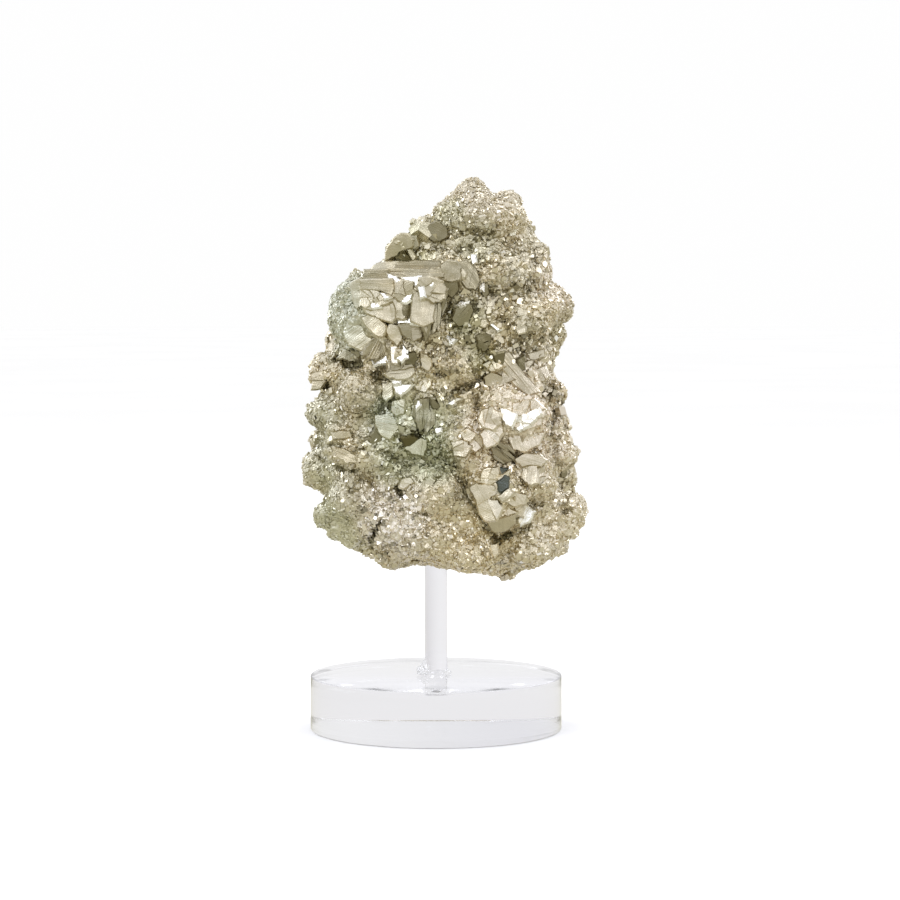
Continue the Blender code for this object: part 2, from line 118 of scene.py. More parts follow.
# Where the druse differs: name, centre and reach in millimetres, usual grain in millimetres, how
# far a grain leans out of the surface in degrees, how much of the ground is covered; then the
# usual half width of the broken chips in millimetres, and how much they cover.
ZONES = (
    ("knob", (12, -8, 183), 17, 0.65, 28, 0.8, 0.8, 0.12),
    ("knob_foot", (14, -14, 171), 12, 1.0, 36, 0.9, 1.2, 0.5),
    ("shoulder", (-8, -12, 170), 9, 1.2, 22, 0.5, 2.2, 0.6),
    ("left_mass", (-31, -16, 148), 15, 0.65, 18, 0.3, 1.0, 0.1),
    ("left_step", (-37, -10, 128), 12, 0.8, 26, 0.8, 1.3, 0.4),
    ("druse_high", (25, -18, 160), 15, 1.0, 52, 1.1, 1.0, 0.4),
    ("druse_mid", (26, -24, 142), 15, 1.2, 58, 1.2, 1.2, 0.5),
    ("druse_low", (7, -27, 127), 14, 1.2, 55, 1.2, 1.3, 0.6),
    ("dome", (7, -26, 162), 7, 0.6, 16, 0.12, 1.0, 0.02),
    ("right_rim", (40, -10, 150), 14, 0.8, 32, 0.9, 1.0, 0.3),
    ("brown_lump", (-26, -28, 119), 9, 0.7, 18, 0.18, 1.3, 0.04),
    ("waist", (2, -28, 112), 10, 1.0, 50, 1.0, 1.2, 0.5),
    ("left_lobes", (-42, -12, 104), 17, 0.6, 16, 0.3, 1.2, 0.1),
    ("left_low", (-36, -14, 78), 15, 0.6, 16, 0.3, 1.2, 0.12),
    ("green_belly", (-6, -28, 93), 13, 1.0, 40, 1.0, 1.5, 0.7),
    ("pink_skirt", (-13, -26, 76), 15, 0.95, 54, 1.15, 1.2, 0.6),
    ("amber_foot", (14, -22, 64), 20, 0.7, 24, 0.7, 1.1, 0.2),
    ("right_lobes", (44, -12, 88), 16, 0.65, 18, 0.45, 1.3, 0.15),
    ("right_middle", (38, -16, 112), 12, 1.0, 38, 1.0, 1.4, 0.6),
    ("back_coarse", (4, 28, 118), 26, 1.6, 42, 1.0, 2.6, 1.0),
    ("back_high", (12, 18, 166), 22, 1.0, 30, 0.9, 1.6, 0.6),
    ("back_low", (0, 24, 78), 26, 0.9, 26, 0.8, 1.5, 0.5),
    ("left_side", (-38, 8, 116), 18, 1.2, 36, 0.9, 2.0, 0.7),
    ("right_side", (42, 8, 110), 20, 1.3, 36, 0.9, 2.0, 0.7),
)
PLAIN_ZONE = (1.0, 28, 0.8, 1.5, 0.5)
CHIP_TRIES = 26000
CHIP_DENSITY = 0.30            # share of tries kept where the chip's half width is two millimetres
CHIP_PIECES = 2
DRUSE_TRIES = 240000
DRUSE_DENSITY = 0.22           # share of tries kept where the grain is one millimetre
PATCHES = 700                  # areas in which neighbouring grains lie nearly parallel
GRAIN_SINK = 0.28              # how deep a grain sits, as a share of its height
DARK_GRAINS = 0.17             # share of grains painted dark, as shade, where the druse is coarse
COARSE_LEAN = math.radians(34)
LONE_GRAINS = 0.3              # share of grains that don't lie as their patch does
PATCH_WOBBLE = 0.17
PATCH_AGREE = 0.75             # how nearly a patch faces as the surface does, as a cosine
SIDE_GRAIN = 0.68              # size of the grains and chips on ground that faces sideways, as a
SIDE_CHIP = 0.45               # share of those on the front
HOLLOW_GAIN = 1.5              # shade from how shut in a place is
HOLLOW_START = 0.3
GRAIN_HABITS = ("plain", "clipped", "shard", "cube")
GRAIN_SHARES = (0.25, 0.35, 0.35, 0.05)
GRAIN_PIECES = 5

# Rounded lobes of the ground on the front: name, middle in sight units, reach in sight units and
# height in millimetres, below nothing for a dent. A second boss of a lobe may overlap the first.
# A middle of three numbers is in millimetres, and its reach too.
BOSSES = (
    ("knob", (468, 206), 34, 3.0),
    ("knob_crest", (475, 188), 20, 2.2),
    ("knob_left", (445, 203), 12, 1.6),
    ("knob_right", (514, 210), 21, 2.4),
    ("knob_peak", (510, 197), 14, 2.7),
    ("knob_cheek", (500, 226), 22, 1.6),
    ("nub", (426, 218), 9, 1.6),
    ("shoulder_ball", (401, 246), 12, 2.2),
    ("shoulder_dark", (436, 232), 12, 1.2),
    ("right_top", (542, 256), 14, 2.0),
    ("right_brow", (554, 282), 14, 1.8),
    ("right_bulge", (555, 304), 17, 2.2),
    ("right_flank", (548, 346), 15, 1.4),
    ("right_ledge", (556, 391), 12, 2.0),
    ("right_waist", (559, 430), 12, 1.6),
    ("right_button", (566, 457), 12, 1.9),
    ("right_heel", (571, 507), 19, 3.0),
    ("right_spur", (577, 500), 12, 3.4),
    ("right_foot", (553, 546), 19, 1.2),
    ("right_edge", (572, 528), 15, 3.0),
    ("amber_foot", (466, 556), 36, 1.9),
    ("amber_right", (532, 556), 23, 2.8),
    ("left_foot", (346, 540), 23, 2.4),
    ("left_heel", (323, 512), 16, 3.2),
    ("left_lobe", (317, 468), 19, 3.0),
    ("left_under", (309, 489), 9, 1.8),
    ("left_cheek", (322, 417), 19, 2.0),
    ("left_step", (327, 382), 14, 1.2),
    ("left_mass", (344, 310), 31, 2.6),
    ("left_flank", (331, 335), 12, 1.4),
    ("left_nub", (356, 271), 9, 1.2),
    ("brown_lump", (362, 392), 23, 3.4),
    ("rose", (529, 416), 27, 2.4),
    ("mosaic", (463, 440), 24, 2.4),
    ("ring", (490, 430), 17, 2.2),
    ("cluster", (496, 500), 34, 3.2),
    ("pink_skirt", (403, 522), 29, 2.0),
    ("skirt_mid", (442, 502), 20, 1.4),
    ("skirt_left", (354, 500), 22, 1.6),
    ("lens_lump", (345, 457), 16, 1.2),
    ("waist", (462, 366), 22, 1.4),
    ("dent_left_foot", (-30, -6, 61), 15, -2.8),
    ("dent_foot", (-10, -5, 57), 17, -2.2),
    ("dent_left_step", (316, 367), 10, -2.2),
    ("dent_right_foot", (46, -4, 66), 10, -1.4),
    ("dent_right_waist", (48, -4, 88), 8, -1.8),
    ("dent_tip", (24, -6, 54), 10, -1.8),
    ("dome", (457, 271), 15, 1.8),
    ("druse_high", (508, 268), 24, 1.2),
    ("druse_mid", (520, 318), 26, 1.4),
)
SPARE_BOSSES = 46              # lobes strewn over the sides and the back
SPARE_REACH = (5.0, 12.0)      # millimetres
SPARE_HEIGHT = 0.22            # of the reach

# Clefts and holes in the ground: name, path in sight units, half width in sight units, depth in
# millimetres.
CLEFTS = (
    ("brown_top", ((376, 376), (391, 378)), 5, 3.6),
    ("brown_left", ((342, 380), (338, 396), (342, 412)), 4, 1.8),
    ("lens_spot", ((322, 455), (325, 458)), 3.5, 2.6),
    ("lens_roof", ((395, 461), (412, 466), (432, 464)), 4, 2.4),
    ("left_notch", ((309, 503), (318, 500), (326, 494)), 4, 1.6),
    ("skirt_swirl", ((349, 486), (362, 478), (372, 484), (377, 497)), 3.5, 1.6),
    ("foot_pit", ((378, 555), (384, 559)), 4.5, 2.4),
    ("foot_pit_right", ((404, 562), (416, 567)), 4, 2.2),
    ("foot_pit_left", ((362, 536), (370, 546)), 4, 2.2),
    ("step_line", ((320, 430), (332, 436), (350, 434)), 3.5, 1.6),
    ("knob_line", ((434, 244), (452, 250), (470, 248)), 4.5, 2.0),
    ("druse_pit_one", ((486, 292), (492, 296)), 4, 2.4),
    ("druse_pit_two", ((498, 318), (506, 322)), 4, 2.4),
    ("druse_pit_three", ((480, 258), (486, 262)), 4, 2.2),
    ("druse_pit_four", ((528, 330), (534, 338)), 4, 2.2),
    ("druse_pit_five", ((470, 300), (476, 310)), 4, 2.2),
    ("druse_pit_six", ((512, 348), (522, 352)), 4, 2.4),
    ("waist_pit", ((434, 366), (440, 374)), 4, 2.4),
    ("belly_line", ((404, 446), (414, 440), (418, 432)), 4.5, 2.6),
    ("rim_line", ((560, 396), (556, 412), (552, 424)), 4, 2.4),
    ("foot_line", ((470, 548), (480, 556), (486, 566)), 3.5, 1.4),
    ("cluster_low", ((505, 532), (498, 540), (493, 536)), 4.5, 3.4),
    ("under_knob", ((442, 231), (470, 232), (500, 240), (530, 246)), 4.5, 1.3),
    ("shoulder_gap", ((413, 230), (416, 242), (409, 256)), 5, 1.6),
    ("great_bed", ((376, 300), (400, 304), (428, 306)), 22, 0.7),
    ("petal_bed", ((378, 326), (404, 334)), 14, 0.7),
    ("great_right", ((451, 284), (449, 300), (447, 316), (440, 326)), 5, 2.4),
    ("great_right_wide", ((454, 288), (457, 300)), 8, 1.4),
    ("under_wedge", ((454, 329), (467, 331)), 5, 2.2),
    ("plate_foot", ((336, 360), (347, 365), (360, 364)), 5, 4.0),
    ("tooth_hole", ((314, 388), (328, 385)), 4.5, 4.8),
    ("lens_hole", ((337, 467), (346, 470), (356, 471)), 4.5, 4.8),
    ("lens_brow", ((313, 446), (335, 445), (362, 450), (395, 457), (420, 459)), 3.5, 2.2),
    ("skirt_hole", ((398, 486), (401, 494)), 4.5, 5.0),
    ("foot_groove", ((380, 523), (377, 531), (372, 541)), 4, 4.6),
    ("cluster_groove", ((458, 478), (470, 500), (484, 524), (497, 538)), 3.2, 3.2),
    ("cluster_hole", ((504, 537), (511, 535)), 5.5, 6.0),
    ("cluster_roof", ((495, 452), (514, 459)), 6, 2.6),
    ("cluster_side", ((524, 502), (542, 506)), 4, 2.8),
    ("cluster_notch", ((529, 524), (517, 530)), 5, 2.4),
    ("heel_hole", ((564, 513), (571, 509)), 2.8, 3.2),
    ("green_valley", ((424, 455), (442, 460), (457, 470)), 10, 2.0),
    ("waist_groove", ((442, 398), (462, 389), (482, 378)), 4, 2.2),
    ("rose_left", ((476, 398), (478, 414), (474, 428)), 4.5, 2.0),
    ("brown_right", ((387, 378), (387, 398), (380, 414)), 5, 1.9),
    ("brown_under", ((343, 414), (362, 419), (380, 414)), 5, 1.3),
    ("right_crease", ((537, 248), (530, 268), (537, 292)), 5, 1.8),
    ("rim_gap", ((540, 366), (552, 376), (548, 398)), 3.5, 1.8),
)
CLEFT_START = 1.2              # depth in millimetres at which painted shade in a cleft begins
CLEFT_SPAN = 2.6
CLEFT_DARK = 0.92
COARSE_VOXEL = 1.2 * MM
DRAW_IN = 0.4 * MM             # how far the smoothed ground shrinks before its lobes swell

FACET_GAP = 0.02 * MM          # between the blocks of a broken face
FACET_BEVEL = 0.09 * MM
FACET_LAP = 0.2 * MM           # how far a drawn face reaches over its neighbours' edges
BLOCK_LAP = 0.12 * MM          # the same for the blocks of one broken face
SKIRT_DROP = 0.8 * MM          # below a face its sides flare out, so that neighbours meet
SKIRT_FLARE = 0.45 * MM
FACET_ROOT = 7.5 * MM          # how far a drawn face's block goes down into the ground
FACET_TONE = 0.87              # of all drawn faces together, but for the white ones
# tone from which a drawn face is white, painted pale as a highlight
WHITE_TONE = 1.25
RAGGED_EDGE = 0.16 * MM        # how far a drawn face's edge strays from a straight line
LEAST_BLOCK = 0.02 * MM * MM   # area below which a block is left out
ROOT_TAPER = 0.8               # width of a drawn face's root, as a share of the face
CHIP_TAPER = 0.7
WHOLE_CHIPS = 0.45             # share of chips that are whole
BLOCKY_CHIPS = 0.75            # share that are whole or a mosaic; the others are in steps
STEP_TILT = 1.6                # degrees by which the blocks of a broken face lean each way
MOSAIC_TILT = 6.0
MOSAIC_RISE = 0.28             # millimetres by which they stand higher or lower
PLAIN = ("plain",)
GLINT = (19, -18)              # lean and swing of a face that mirrors the brightest lamp

# Broken crystal faces on the front, drawn as the camera sees them: name, lean and swing of the
# face in degrees, proud in millimetres, tone, how the face is broken, and outline in sight units.
# The tone is partly painted light: darker faces paint shade, and the white ones are painted pale
# as a highlight where they mirror the lamp.
# A face is plain, or in steps (count, direction of their lines in degrees, rise in millimetres
# and tilt in degrees), or a mosaic (count and tilt).
FACETS = (
    # the great cube
    ("cap_back", 14, 2, 1.5, 0.95, PLAIN, ((371, 271), (374, 266), (386, 262.5), (398, 261.5),
     (401, 263), (393, 268.5), (389, 271))),
    ("cap_ridge", 6, 2, 1.3, 0.53, ("steps", 3, 2, 0.06), ((391, 270), (401, 263), (420, 262),
     (438, 262), (443, 268), (420, 271))),
    ("cap_steps", 10, 2, 1.5, 0.68, ("steps", 4, -3, 0.06), ((391, 270), (420, 271), (442, 269),
     (443, 277), (420, 278), (406, 277), (393, 276))),
    ("cap_left", 2, -4, 1.5, 0.6, ("steps", 3, 1, 0.08), ((365, 271), (389, 270.5), (388, 276),
     (386, 279.5), (363, 280.5))),
    ("cap_low", 6, -6, 1.7, 0.8, ("steps", 3, -1, 0.06), ((361, 281), (391, 279.5), (393, 287),
     (391, 294), (380, 289), (362, 288))),
    ("white_one", *GLINT, 3.0, 1.4, PLAIN, ((388, 275), (392, 276), (399, 280), (394, 285),
     (391, 283), (389, 278))),
    ("great_brow", 5, 6, 1.8, 0.85, ("mosaic", 4), ((396, 286), (401, 281), (412, 283), (412, 296),
     (406, 296), (401, 300), (395, 296))),
    ("white_two", *GLINT, 3.2, 1.4, ("mosaic", 2, 2), ((404, 278), (419, 277), (418, 286),
     (415, 285), (414, 281), (408, 282))),
    ("great_crown", 6, 0, 2.0, 0.76, ("mosaic", 8, 8), ((420, 279), (430, 278), (441, 282),
     (445, 289), (444, 298), (434, 302), (425, 297), (418, 288))),
    ("white_three", *GLINT, 2.8, 1.4, PLAIN, ((419, 287), (422, 287), (424, 296), (421, 297))),
    ("white_four", *GLINT, 3.3, 1.4, PLAIN, ((427, 281), (433, 283), (431, 286))),
    ("great_face", 8, 3, 2.3, 0.98, ("steps", 1, 88, 0.0), ((413, 290), (424, 296), (433, 302),
     (433, 321), (424, 325), (412, 320))),
    ("great_slit", -4, 24, 1.8, 0.34, PLAIN, ((406, 301), (412, 298), (412, 307), (409, 316),
     (405, 315))),
    ("white_slit", *GLINT, 2.4, 1.4, PLAIN, ((402, 301), (406, 297), (411, 295), (410, 299),
     (405, 302))),
    ("great_left", 9, -9, 1.8, 1.1, ("mosaic", 12, 6), ((361, 288), (370, 289), (379, 293),
     (393, 295), (392, 300), (381, 304), (370, 309), (361, 305))),
    ("white_left", *GLINT, 3.0, 1.4, PLAIN, ((371, 304), (376, 302), (379, 306), (372, 307))),
    ("white_streak", *GLINT, 2.6, 1.4, PLAIN, ((380, 293), (389, 297), (384, 298))),
    ("great_cheek", 6, -6, 2.1, 1.0, ("steps", 2, 86, 0.04), ((393, 298), (397, 294), (403, 300),
     (405, 306), (404, 317), (397, 317), (396, 306))),
    ("great_chin", 8, -5, 2.1, 1.1, ("mosaic", 2, 2), ((364, 308), (380, 303), (394, 299),
     (397, 308), (397, 315), (392, 321), (377, 317), (369, 313))),
    ("great_ribs", 4, 24, 1.6, 0.42, ("steps", 7, 80, 0.12, 9), ((434, 301), (445, 292), (446, 306),
     (439, 322), (428, 337), (425, 328), (434, 321))),
    ("petal_one", 6, -9, 2.2, 1.05, PLAIN, ((362, 318), (368, 315), (377, 318), (384, 324),
     (385, 329), (382, 336), (377, 335), (368, 327))),
    ("petal_two", 4, 0, 2.4, 1.05, PLAIN, ((389, 325), (398, 326), (401, 332), (401, 340),
     (397, 345), (391, 339), (387, 332))),
    ("petal_three", -2, 8, 2.1, 0.68, ("mosaic", 2), ((401, 325), (412, 323), (421, 326),
     (421, 336), (414, 340), (406, 336), (402, 331))),
    ("white_row", 17, -16, 2.3, 1.4, ("mosaic", 7, 6), ((397, 317), (403, 316), (418, 319),
     (419, 323), (410, 322), (399, 323))),
    # left of the great cube
    ("left_smooth", 4, -24, 0.8, 0.95, PLAIN, ((350, 284), (359, 279), (361, 286), (361, 303),
     (357, 308), (352, 299))),
    ("left_plate", 6, -8, 1.2, 1.16, ("steps", 11, 35, 0.06), ((356, 311), (361, 320), (380, 335),
     (368, 345), (363, 350), (350, 344), (345, 336), (346, 328), (350, 318))),
    ("left_plate_foot", 8, -14, 0.8, 0.5, ("mosaic", 2), ((339, 357), (345, 350), (360, 358),
     (352, 360))),
    ("left_plate_dark", -8, -4, 0.8, 0.5, PLAIN, ((352, 351), (361, 352), (358, 357))),
    ("left_ribs", 3, 20, 0.9, 0.66, ("steps", 9, 62, 0.08, 6), ((367, 348), (376, 338), (384, 336),
     (390, 345), (389, 353), (383, 357), (371, 358), (366, 354))),
    ("white_bar", *GLINT, 1.2, 1.4, PLAIN, ((373, 359), (387, 356), (388, 362), (375, 365))),
    # the bright crystal
    ("bright_left", *GLINT, 1.4, 1.3, PLAIN, ((391, 347), (400, 346), (397, 354), (397, 363),
     (392, 362))),
    ("bright_ring", *GLINT, 2.6, 1.4, PLAIN, ((403, 346), (406, 350), (406, 357), (401, 361),
     (397, 357), (403, 354))),
    ("bright_core", 8, 12, 2.4, 1.05, ("mosaic", 3), ((398, 350), (403, 350), (402, 356),
     (397, 356))),
    ("bright_dark", -4, 26, 1.2, 0.2, PLAIN, ((407, 354), (415, 353), (418, 359), (413, 365),
     (406, 363))),
    ("bright_foot", 8, 4, 1.2, 0.66, ("mosaic", 4), ((392, 363), (406, 362), (412, 366),
     (392, 370))),
    ("shelf", 10, 2, 1.4, 1.0, ("steps", 4, 4, 0.14), ((386, 374), (391, 371), (413, 368),
     (414, 371), (410, 376), (400, 378), (390, 377))),
    ("shelf_white", *GLINT, 1.4, 1.4, PLAIN, ((391, 380), (400, 379), (399, 383), (393, 383))),
    ("white_tooth", *GLINT, 1.4, 1.4, PLAIN, ((394, 385), (411, 385), (406, 390), (401, 394),
     (396, 392))),
    ("eye_crystal", 9, -4, 0.8, 1.15, ("mosaic", 3), ((417, 380), (429, 378), (430, 384),
     (424, 391), (417, 389))),
    ("oval_grain", 8, 3, 1.2, 1.2, PLAIN, ((422, 357), (426, 355), (430, 358), (431, 366),
     (427, 370), (422, 366))),
    # left middle
    ("tooth", 6, -12, 0.5, 0.66, ("mosaic", 2), ((312, 388), (313, 380), (319, 377), (325, 381),
     (320, 387))),
    ("strip_high", 8, -8, 1.2, 1.08, ("steps", 4, 40, 0.05), ((383, 384), (391, 383), (392, 394),
     (386, 400), (383, 396))),
    ("strip_mid", 6, -8, 1.2, 1.1, ("mosaic", 6), ((393, 402), (404, 400), (403, 411), (396, 415),
     (392, 410))),
    ("strip_low", 6, -8, 1.2, 1.05, ("steps", 8, -12, 0.04), ((376, 416), (392, 414), (396, 425),
     (397, 428), (389, 438), (381, 434), (376, 424))),
    ("strand_left", 4, 14, 0.6, 0.55, ("steps", 4, 88, 0.06, 6), ((416, 402), (421, 400),
     (424, 412), (425, 428), (420, 430), (415, 416))),
    ("strand_right", 3, 18, 0.7, 0.5, ("steps", 5, 82, 0.06, 6), ((424, 400), (431, 399),
     (435, 410), (434, 424), (427, 431), (425, 414))),
    ("strand_dark", -6, 12, 0.9, 0.3, PLAIN, ((432, 400), (435, 401), (439, 407), (437, 409),
     (433, 407))),
    ("belly_bar", 7, -10, 0.7, 0.85, ("mosaic", 2), ((331, 432), (349, 432), (350, 437),
     (333, 438))),
    ("brown_wedge", -6, 12, 0.8, 0.36, PLAIN, ((371, 436), (376, 427), (381, 437), (379, 447),
     (372, 447))),
    ("spur", 6, -2, 1.2, 1.0, ("mosaic", 2, 3), ((406, 448), (412.5, 445), (421, 439), (425, 440.5),
     (426, 445), (423, 455), (412, 453))),
    # painted shadow: a near black face in the hollow under the green crystal
    ("hollow", -12, 8, 0.5, 0.05, PLAIN, ((402.5, 439), (410, 437), (418, 439), (412, 444.5),
     (406, 447))),
    ("lens", 7, -12, 1.0, 0.9, ("steps", 4, -24, 0.05), ((334, 449), (343, 450), (354, 456),
     (355, 461), (346, 462), (338, 456))),
    ("chip_low", 12, 4, 0.9, 1.1, PLAIN, ((400, 486), (402, 480), (410, 478), (413, 482),
     (403, 488))),
    # right of the great cube
    ("dome_left", 4, -4, 0.9, 0.64, PLAIN, ((441, 266), (448, 261), (456, 262), (460, 268),
     (459, 279), (451, 281), (442, 279))),
    ("dome_right", 2, 12, 0.7, 0.62, ("mosaic", 2, 3), ((459, 264), (467, 262), (475, 269),
     (479, 281), (475, 289), (467, 287), (460, 279))),
    # painted shade: a darker face in the shadow below the dome
    ("dome_hollow", -4, 8, 0.4, 0.36, PLAIN, ((442, 280), (450, 282), (457, 281), (458, 290),
     (452, 297), (446, 292))),
    ("wedge_face", -3, 6, 1.0, 0.5, ("steps", 3, 48, 0.02), ((460, 306), (466, 303.5), (471, 306),
     (472, 312), (468, 322), (459, 325.5), (453, 319), (456, 312))),
    ("wedge_edge", *GLINT, 1.4, 1.4, PLAIN, ((456.5, 305), (460, 302), (466, 302), (464, 304.5),
     (459, 306))),
    ("dark_coin", -3, 12, 1.0, 0.3, ("steps", 2, 20, 0.02), ((478, 337), (483, 334), (490, 336.5),
     (490, 344), (485, 350), (479.5, 348))),
    ("pale_coin", 5, -4, 1.0, 0.95, PLAIN, ((477.5, 325), (482, 320), (486, 320), (488.5, 324),
     (484, 327.5))),
    ("dark_chip", -2, 8, 0.9, 0.4, PLAIN, ((483, 285), (487, 283.5), (488.5, 292), (486, 296.5),
     (483, 295))),
    ("druse_glint_one", *GLINT, 1.2, 1.3, PLAIN, ((471.5, 255), (474.5, 255), (475, 262),
     (473, 263.5))),
    ("druse_glint_two", *GLINT, 1.2, 1.3, PLAIN, ((478.5, 285), (482, 284), (482, 289.5),
     (480, 289))),
    ("druse_glint_three", *GLINT, 1.2, 1.3, PLAIN, ((490, 325), (492, 324.5), (499, 329),
     (497, 330))),
    ("waist_glint", 17, -15, 1.0, 1.25, ("mosaic", 4, 5), ((442.5, 342), (448, 337), (454, 339),
     (451, 343.5), (446, 344))),
    ("belly_glint_one", *GLINT, 1.2, 1.3, PLAIN, ((415, 402), (418.5, 401), (419, 405),
     (416, 408.5))),
    ("belly_glint_two", *GLINT, 1.2, 1.4, PLAIN, ((435.5, 429), (439.5, 428), (440, 431),
     (437, 433))),
    ("belly_glint_three", 17, -16, 1.2, 1.3, ("mosaic", 3, 5), ((448.5, 404), (457, 399),
     (460, 399), (452, 404.5))),
    ("blade", 5, 9, 1.4, 0.72, ("steps", 2, -50, 0.03), ((503, 354), (509, 353), (518, 367),
     (529, 380), (538, 391), (529, 394), (514, 383), (503, 368))),
    ("blade_left", 6, -8, 0.8, 0.66, ("mosaic", 3), ((485, 378), (501, 367), (513, 379), (497, 387),
     (486, 384))),
    ("blade_dark", -8, 10, 0.8, 0.22, PLAIN, ((495, 356), (504, 353), (503, 365), (497, 364))),
    ("blade_pale", 14, -14, 0.9, 1.02, ("mosaic", 4), ((484, 365), (491, 361), (502, 366),
     (491, 370))),
    ("rim_bar", 12, 8, 1.0, 0.85, PLAIN, ((528, 354), (543, 350), (544, 356), (531, 359))),
    ("rim_dark", -6, 20, 0.8, 0.28, PLAIN, ((518, 360), (524, 357), (525, 369), (520, 370))),
    ("rim_kite", 8, 14, 1.0, 0.72, PLAIN, ((527, 362), (536, 360), (530, 366), (526, 374))),
    ("rim_kite_pale", 6, 4, 0.8, 0.76, ("mosaic", 2), ((537, 370), (545, 367), (548, 376),
     (540, 382))),
    # the right middle
    ("rose_white", *GLINT, 1.6, 1.35, PLAIN, ((501, 409), (509, 411), (515, 415), (511, 426),
     (506, 424), (502, 417))),
    ("rose_pale", 17, -15, 1.3, 1.27, ("mosaic", 11, 7), ((511, 426), (516, 420), (524, 415),
     (538, 409), (540, 413), (530, 423), (519, 430))),
    ("rose_round", 8, 3, 0.5, 0.92, ("mosaic", 14), ((514, 404), (534, 400), (545, 410), (540, 424),
     (524, 430), (512, 425))),
    ("ring_high", 11, -9, 1.0, 0.98, ("mosaic", 8), ((482, 411), (491, 408), (499, 413), (499, 423),
     (492, 429), (483, 426), (479, 419))),
    ("ring_low", 7, -3, 1.1, 1.15, ("mosaic", 3), ((481, 434), (487, 429), (501, 426), (502, 432),
     (496, 443), (487, 447))),
    ("block_left", 6, -6, 1.2, 1.15, PLAIN, ((460, 432), (468, 429), (475, 434), (470, 441),
     (464, 439))),
    ("block_low", 9, -6, 1.0, 0.92, ("mosaic", 5), ((452, 443), (462, 441), (470, 446), (465, 456),
     (455, 455))),
    ("block_mid", 5, 5, 0.9, 1.0, ("mosaic", 3), ((471, 437), (480, 436), (482, 447), (475, 451),
     (470, 446))),
    ("rose_smooth", 5, 6, 0.9, 0.85, PLAIN, ((509, 438), (516, 434), (543, 433), (539, 444),
     (526, 451), (514, 449))),
    ("ink_roof", -8, 2, 0.9, 0.44, ("steps", 6, -38, 0.12, 10), ((492, 449), (500, 442), (508, 446),
     (514, 452), (513, 460), (503, 463), (495, 458))),
    # the low cluster
    ("cluster_brow", 8, 2, 1.3, 0.9, PLAIN, ((516, 459), (526, 454), (540, 455), (546, 460),
     (541, 466), (532, 464), (522, 466))),
    ("cluster_rose", 11, -9, 1.2, 0.9, ("steps", 5, 84, 0.1), ((523, 468), (536, 465), (537, 482),
     (530, 484), (522, 478))),
    ("cluster_rose_side", 6, 10, 1.0, 0.78, ("mosaic", 3), ((537, 470), (543, 468), (545, 478),
     (540, 484))),
    ("ink_face", 0, 8, 1.4, -1.0, PLAIN, ((498, 483), (505, 477), (509, 479), (508, 487),
     (501, 491))),
    ("ink_high", 0, 8, 1.2, -1.0, PLAIN, ((499, 469), (506, 470), (501, 475))),
    ("ink_bar", 9, -6, 1.8, 1.0, PLAIN, ((497, 478), (509, 471), (509, 475), (499, 480))),
    ("cluster_one", 8, -6, 1.4, 1.0, ("mosaic", 2), ((471, 488), (477, 484), (485, 485), (494, 487),
     (496, 493), (488, 499), (478, 505), (475, 497))),
    ("cluster_two", 8, -4, 1.6, 1.2, ("mosaic", 2), ((478, 506), (488, 500), (497, 501), (501, 509),
     (496, 519), (486, 520), (480, 513))),
    ("cluster_three", 6, -8, 1.4, 1.2, PLAIN, ((498, 497), (509, 489), (513, 493), (502, 501))),
    ("cluster_four", 7, 3, 1.2, 1.05, PLAIN, ((507, 502), (515, 493), (526, 496), (525, 504),
     (514, 506))),
    ("cluster_five", 8, -8, 1.3, 0.9, ("mosaic", 2), ((501, 514), (509, 509), (515, 512),
     (511, 516))),
    ("cluster_six", 3, 12, 1.0, 0.85, PLAIN, ((515, 506), (523, 505), (523, 516), (517, 514))),
    ("cluster_pale", 9, -10, 1.2, 1.3, ("steps", 3, 60, 0.05), ((524, 505), (533, 512), (528, 521),
     (521, 524), (519, 520), (524, 514))),
    ("cluster_under", -12, -3, 1.4, 0.7, PLAIN, ((487, 521), (498, 520), (514, 516), (514, 524),
     (505, 531), (495, 532))),
    ("cluster_top", 9, -8, 1.0, 1.15, ("mosaic", 8), ((484, 470), (497, 468), (498, 480),
     (490, 484), (480, 482))),
    ("cluster_corner", 17, -15, 1.3, 1.25, PLAIN, ((491, 468), (498, 466), (499, 473), (493, 474))),
    ("foot_grain", 9, -4, 1.0, 1.05, PLAIN, ((491, 545), (497, 544), (498, 553), (494, 556),
     (490, 551))),
    # the shoulder
    ("shoulder_round", -2, -14, 1.6, 0.74, PLAIN, ((386, 259), (386, 252), (389, 246), (393, 240),
     (397, 236), (402, 234.5), (408, 235.5), (412, 240), (411, 247), (402, 250), (394, 256))),
    ("shoulder_under", -14, -6, 0.4, 0.36, PLAIN, ((390, 255), (401, 251), (408, 256), (414, 260),
     (403, 261))),
    ("shoulder_mid", 2, 4, 0.6, 0.74, PLAIN, ((409, 237), (417, 236), (418, 246), (413, 249),
     (410, 245))),
    ("shoulder_blade", 10, -8, 1.0, 0.82, PLAIN, ((405, 246), (407, 244), (415, 257), (413, 260))),
    ("shoulder_face", 2, -4, 0.6, 0.42, PLAIN, ((425, 228), (436, 222), (446, 229), (447, 235),
     (442, 239), (434, 241), (427, 235))),
)

# ---- small tools -----------------------------------------------------------------------------


def take(piece):
    """Makes the piece the only one selected, and the active one."""
    bpy.ops.object.select_all(action="DESELECT")
    piece.hide_set(False)
    piece.select_set(True)
    bpy.context.view_layer.objects.active = piece
    return piece


@contextmanager
def editing(piece, mode="FACE"):
    """Edit mode on one piece, with nothing selected to begin with."""
    take(piece)
    bpy.ops.object.mode_set(mode="EDIT")
    bpy.ops.mesh.select_mode(type=mode)
    bpy.ops.mesh.select_all(action="DESELECT")
    yield
    bpy.ops.object.mode_set(mode="OBJECT")


def pick(piece, kind, test):
    """Selects the faces or edges, by their middle and direction, that pass the test."""
    bpy.ops.object.mode_set(mode="OBJECT")
    mesh = piece.data
    for item in getattr(mesh, kind):
        if kind == "polygons":
            item.select = test(item.center, item.normal)
        else:
            ends = [mesh.vertices[index].co for index in item.vertices]
            item.select = test(ends[0], ends[1])
    bpy.ops.object.mode_set(mode="EDIT")


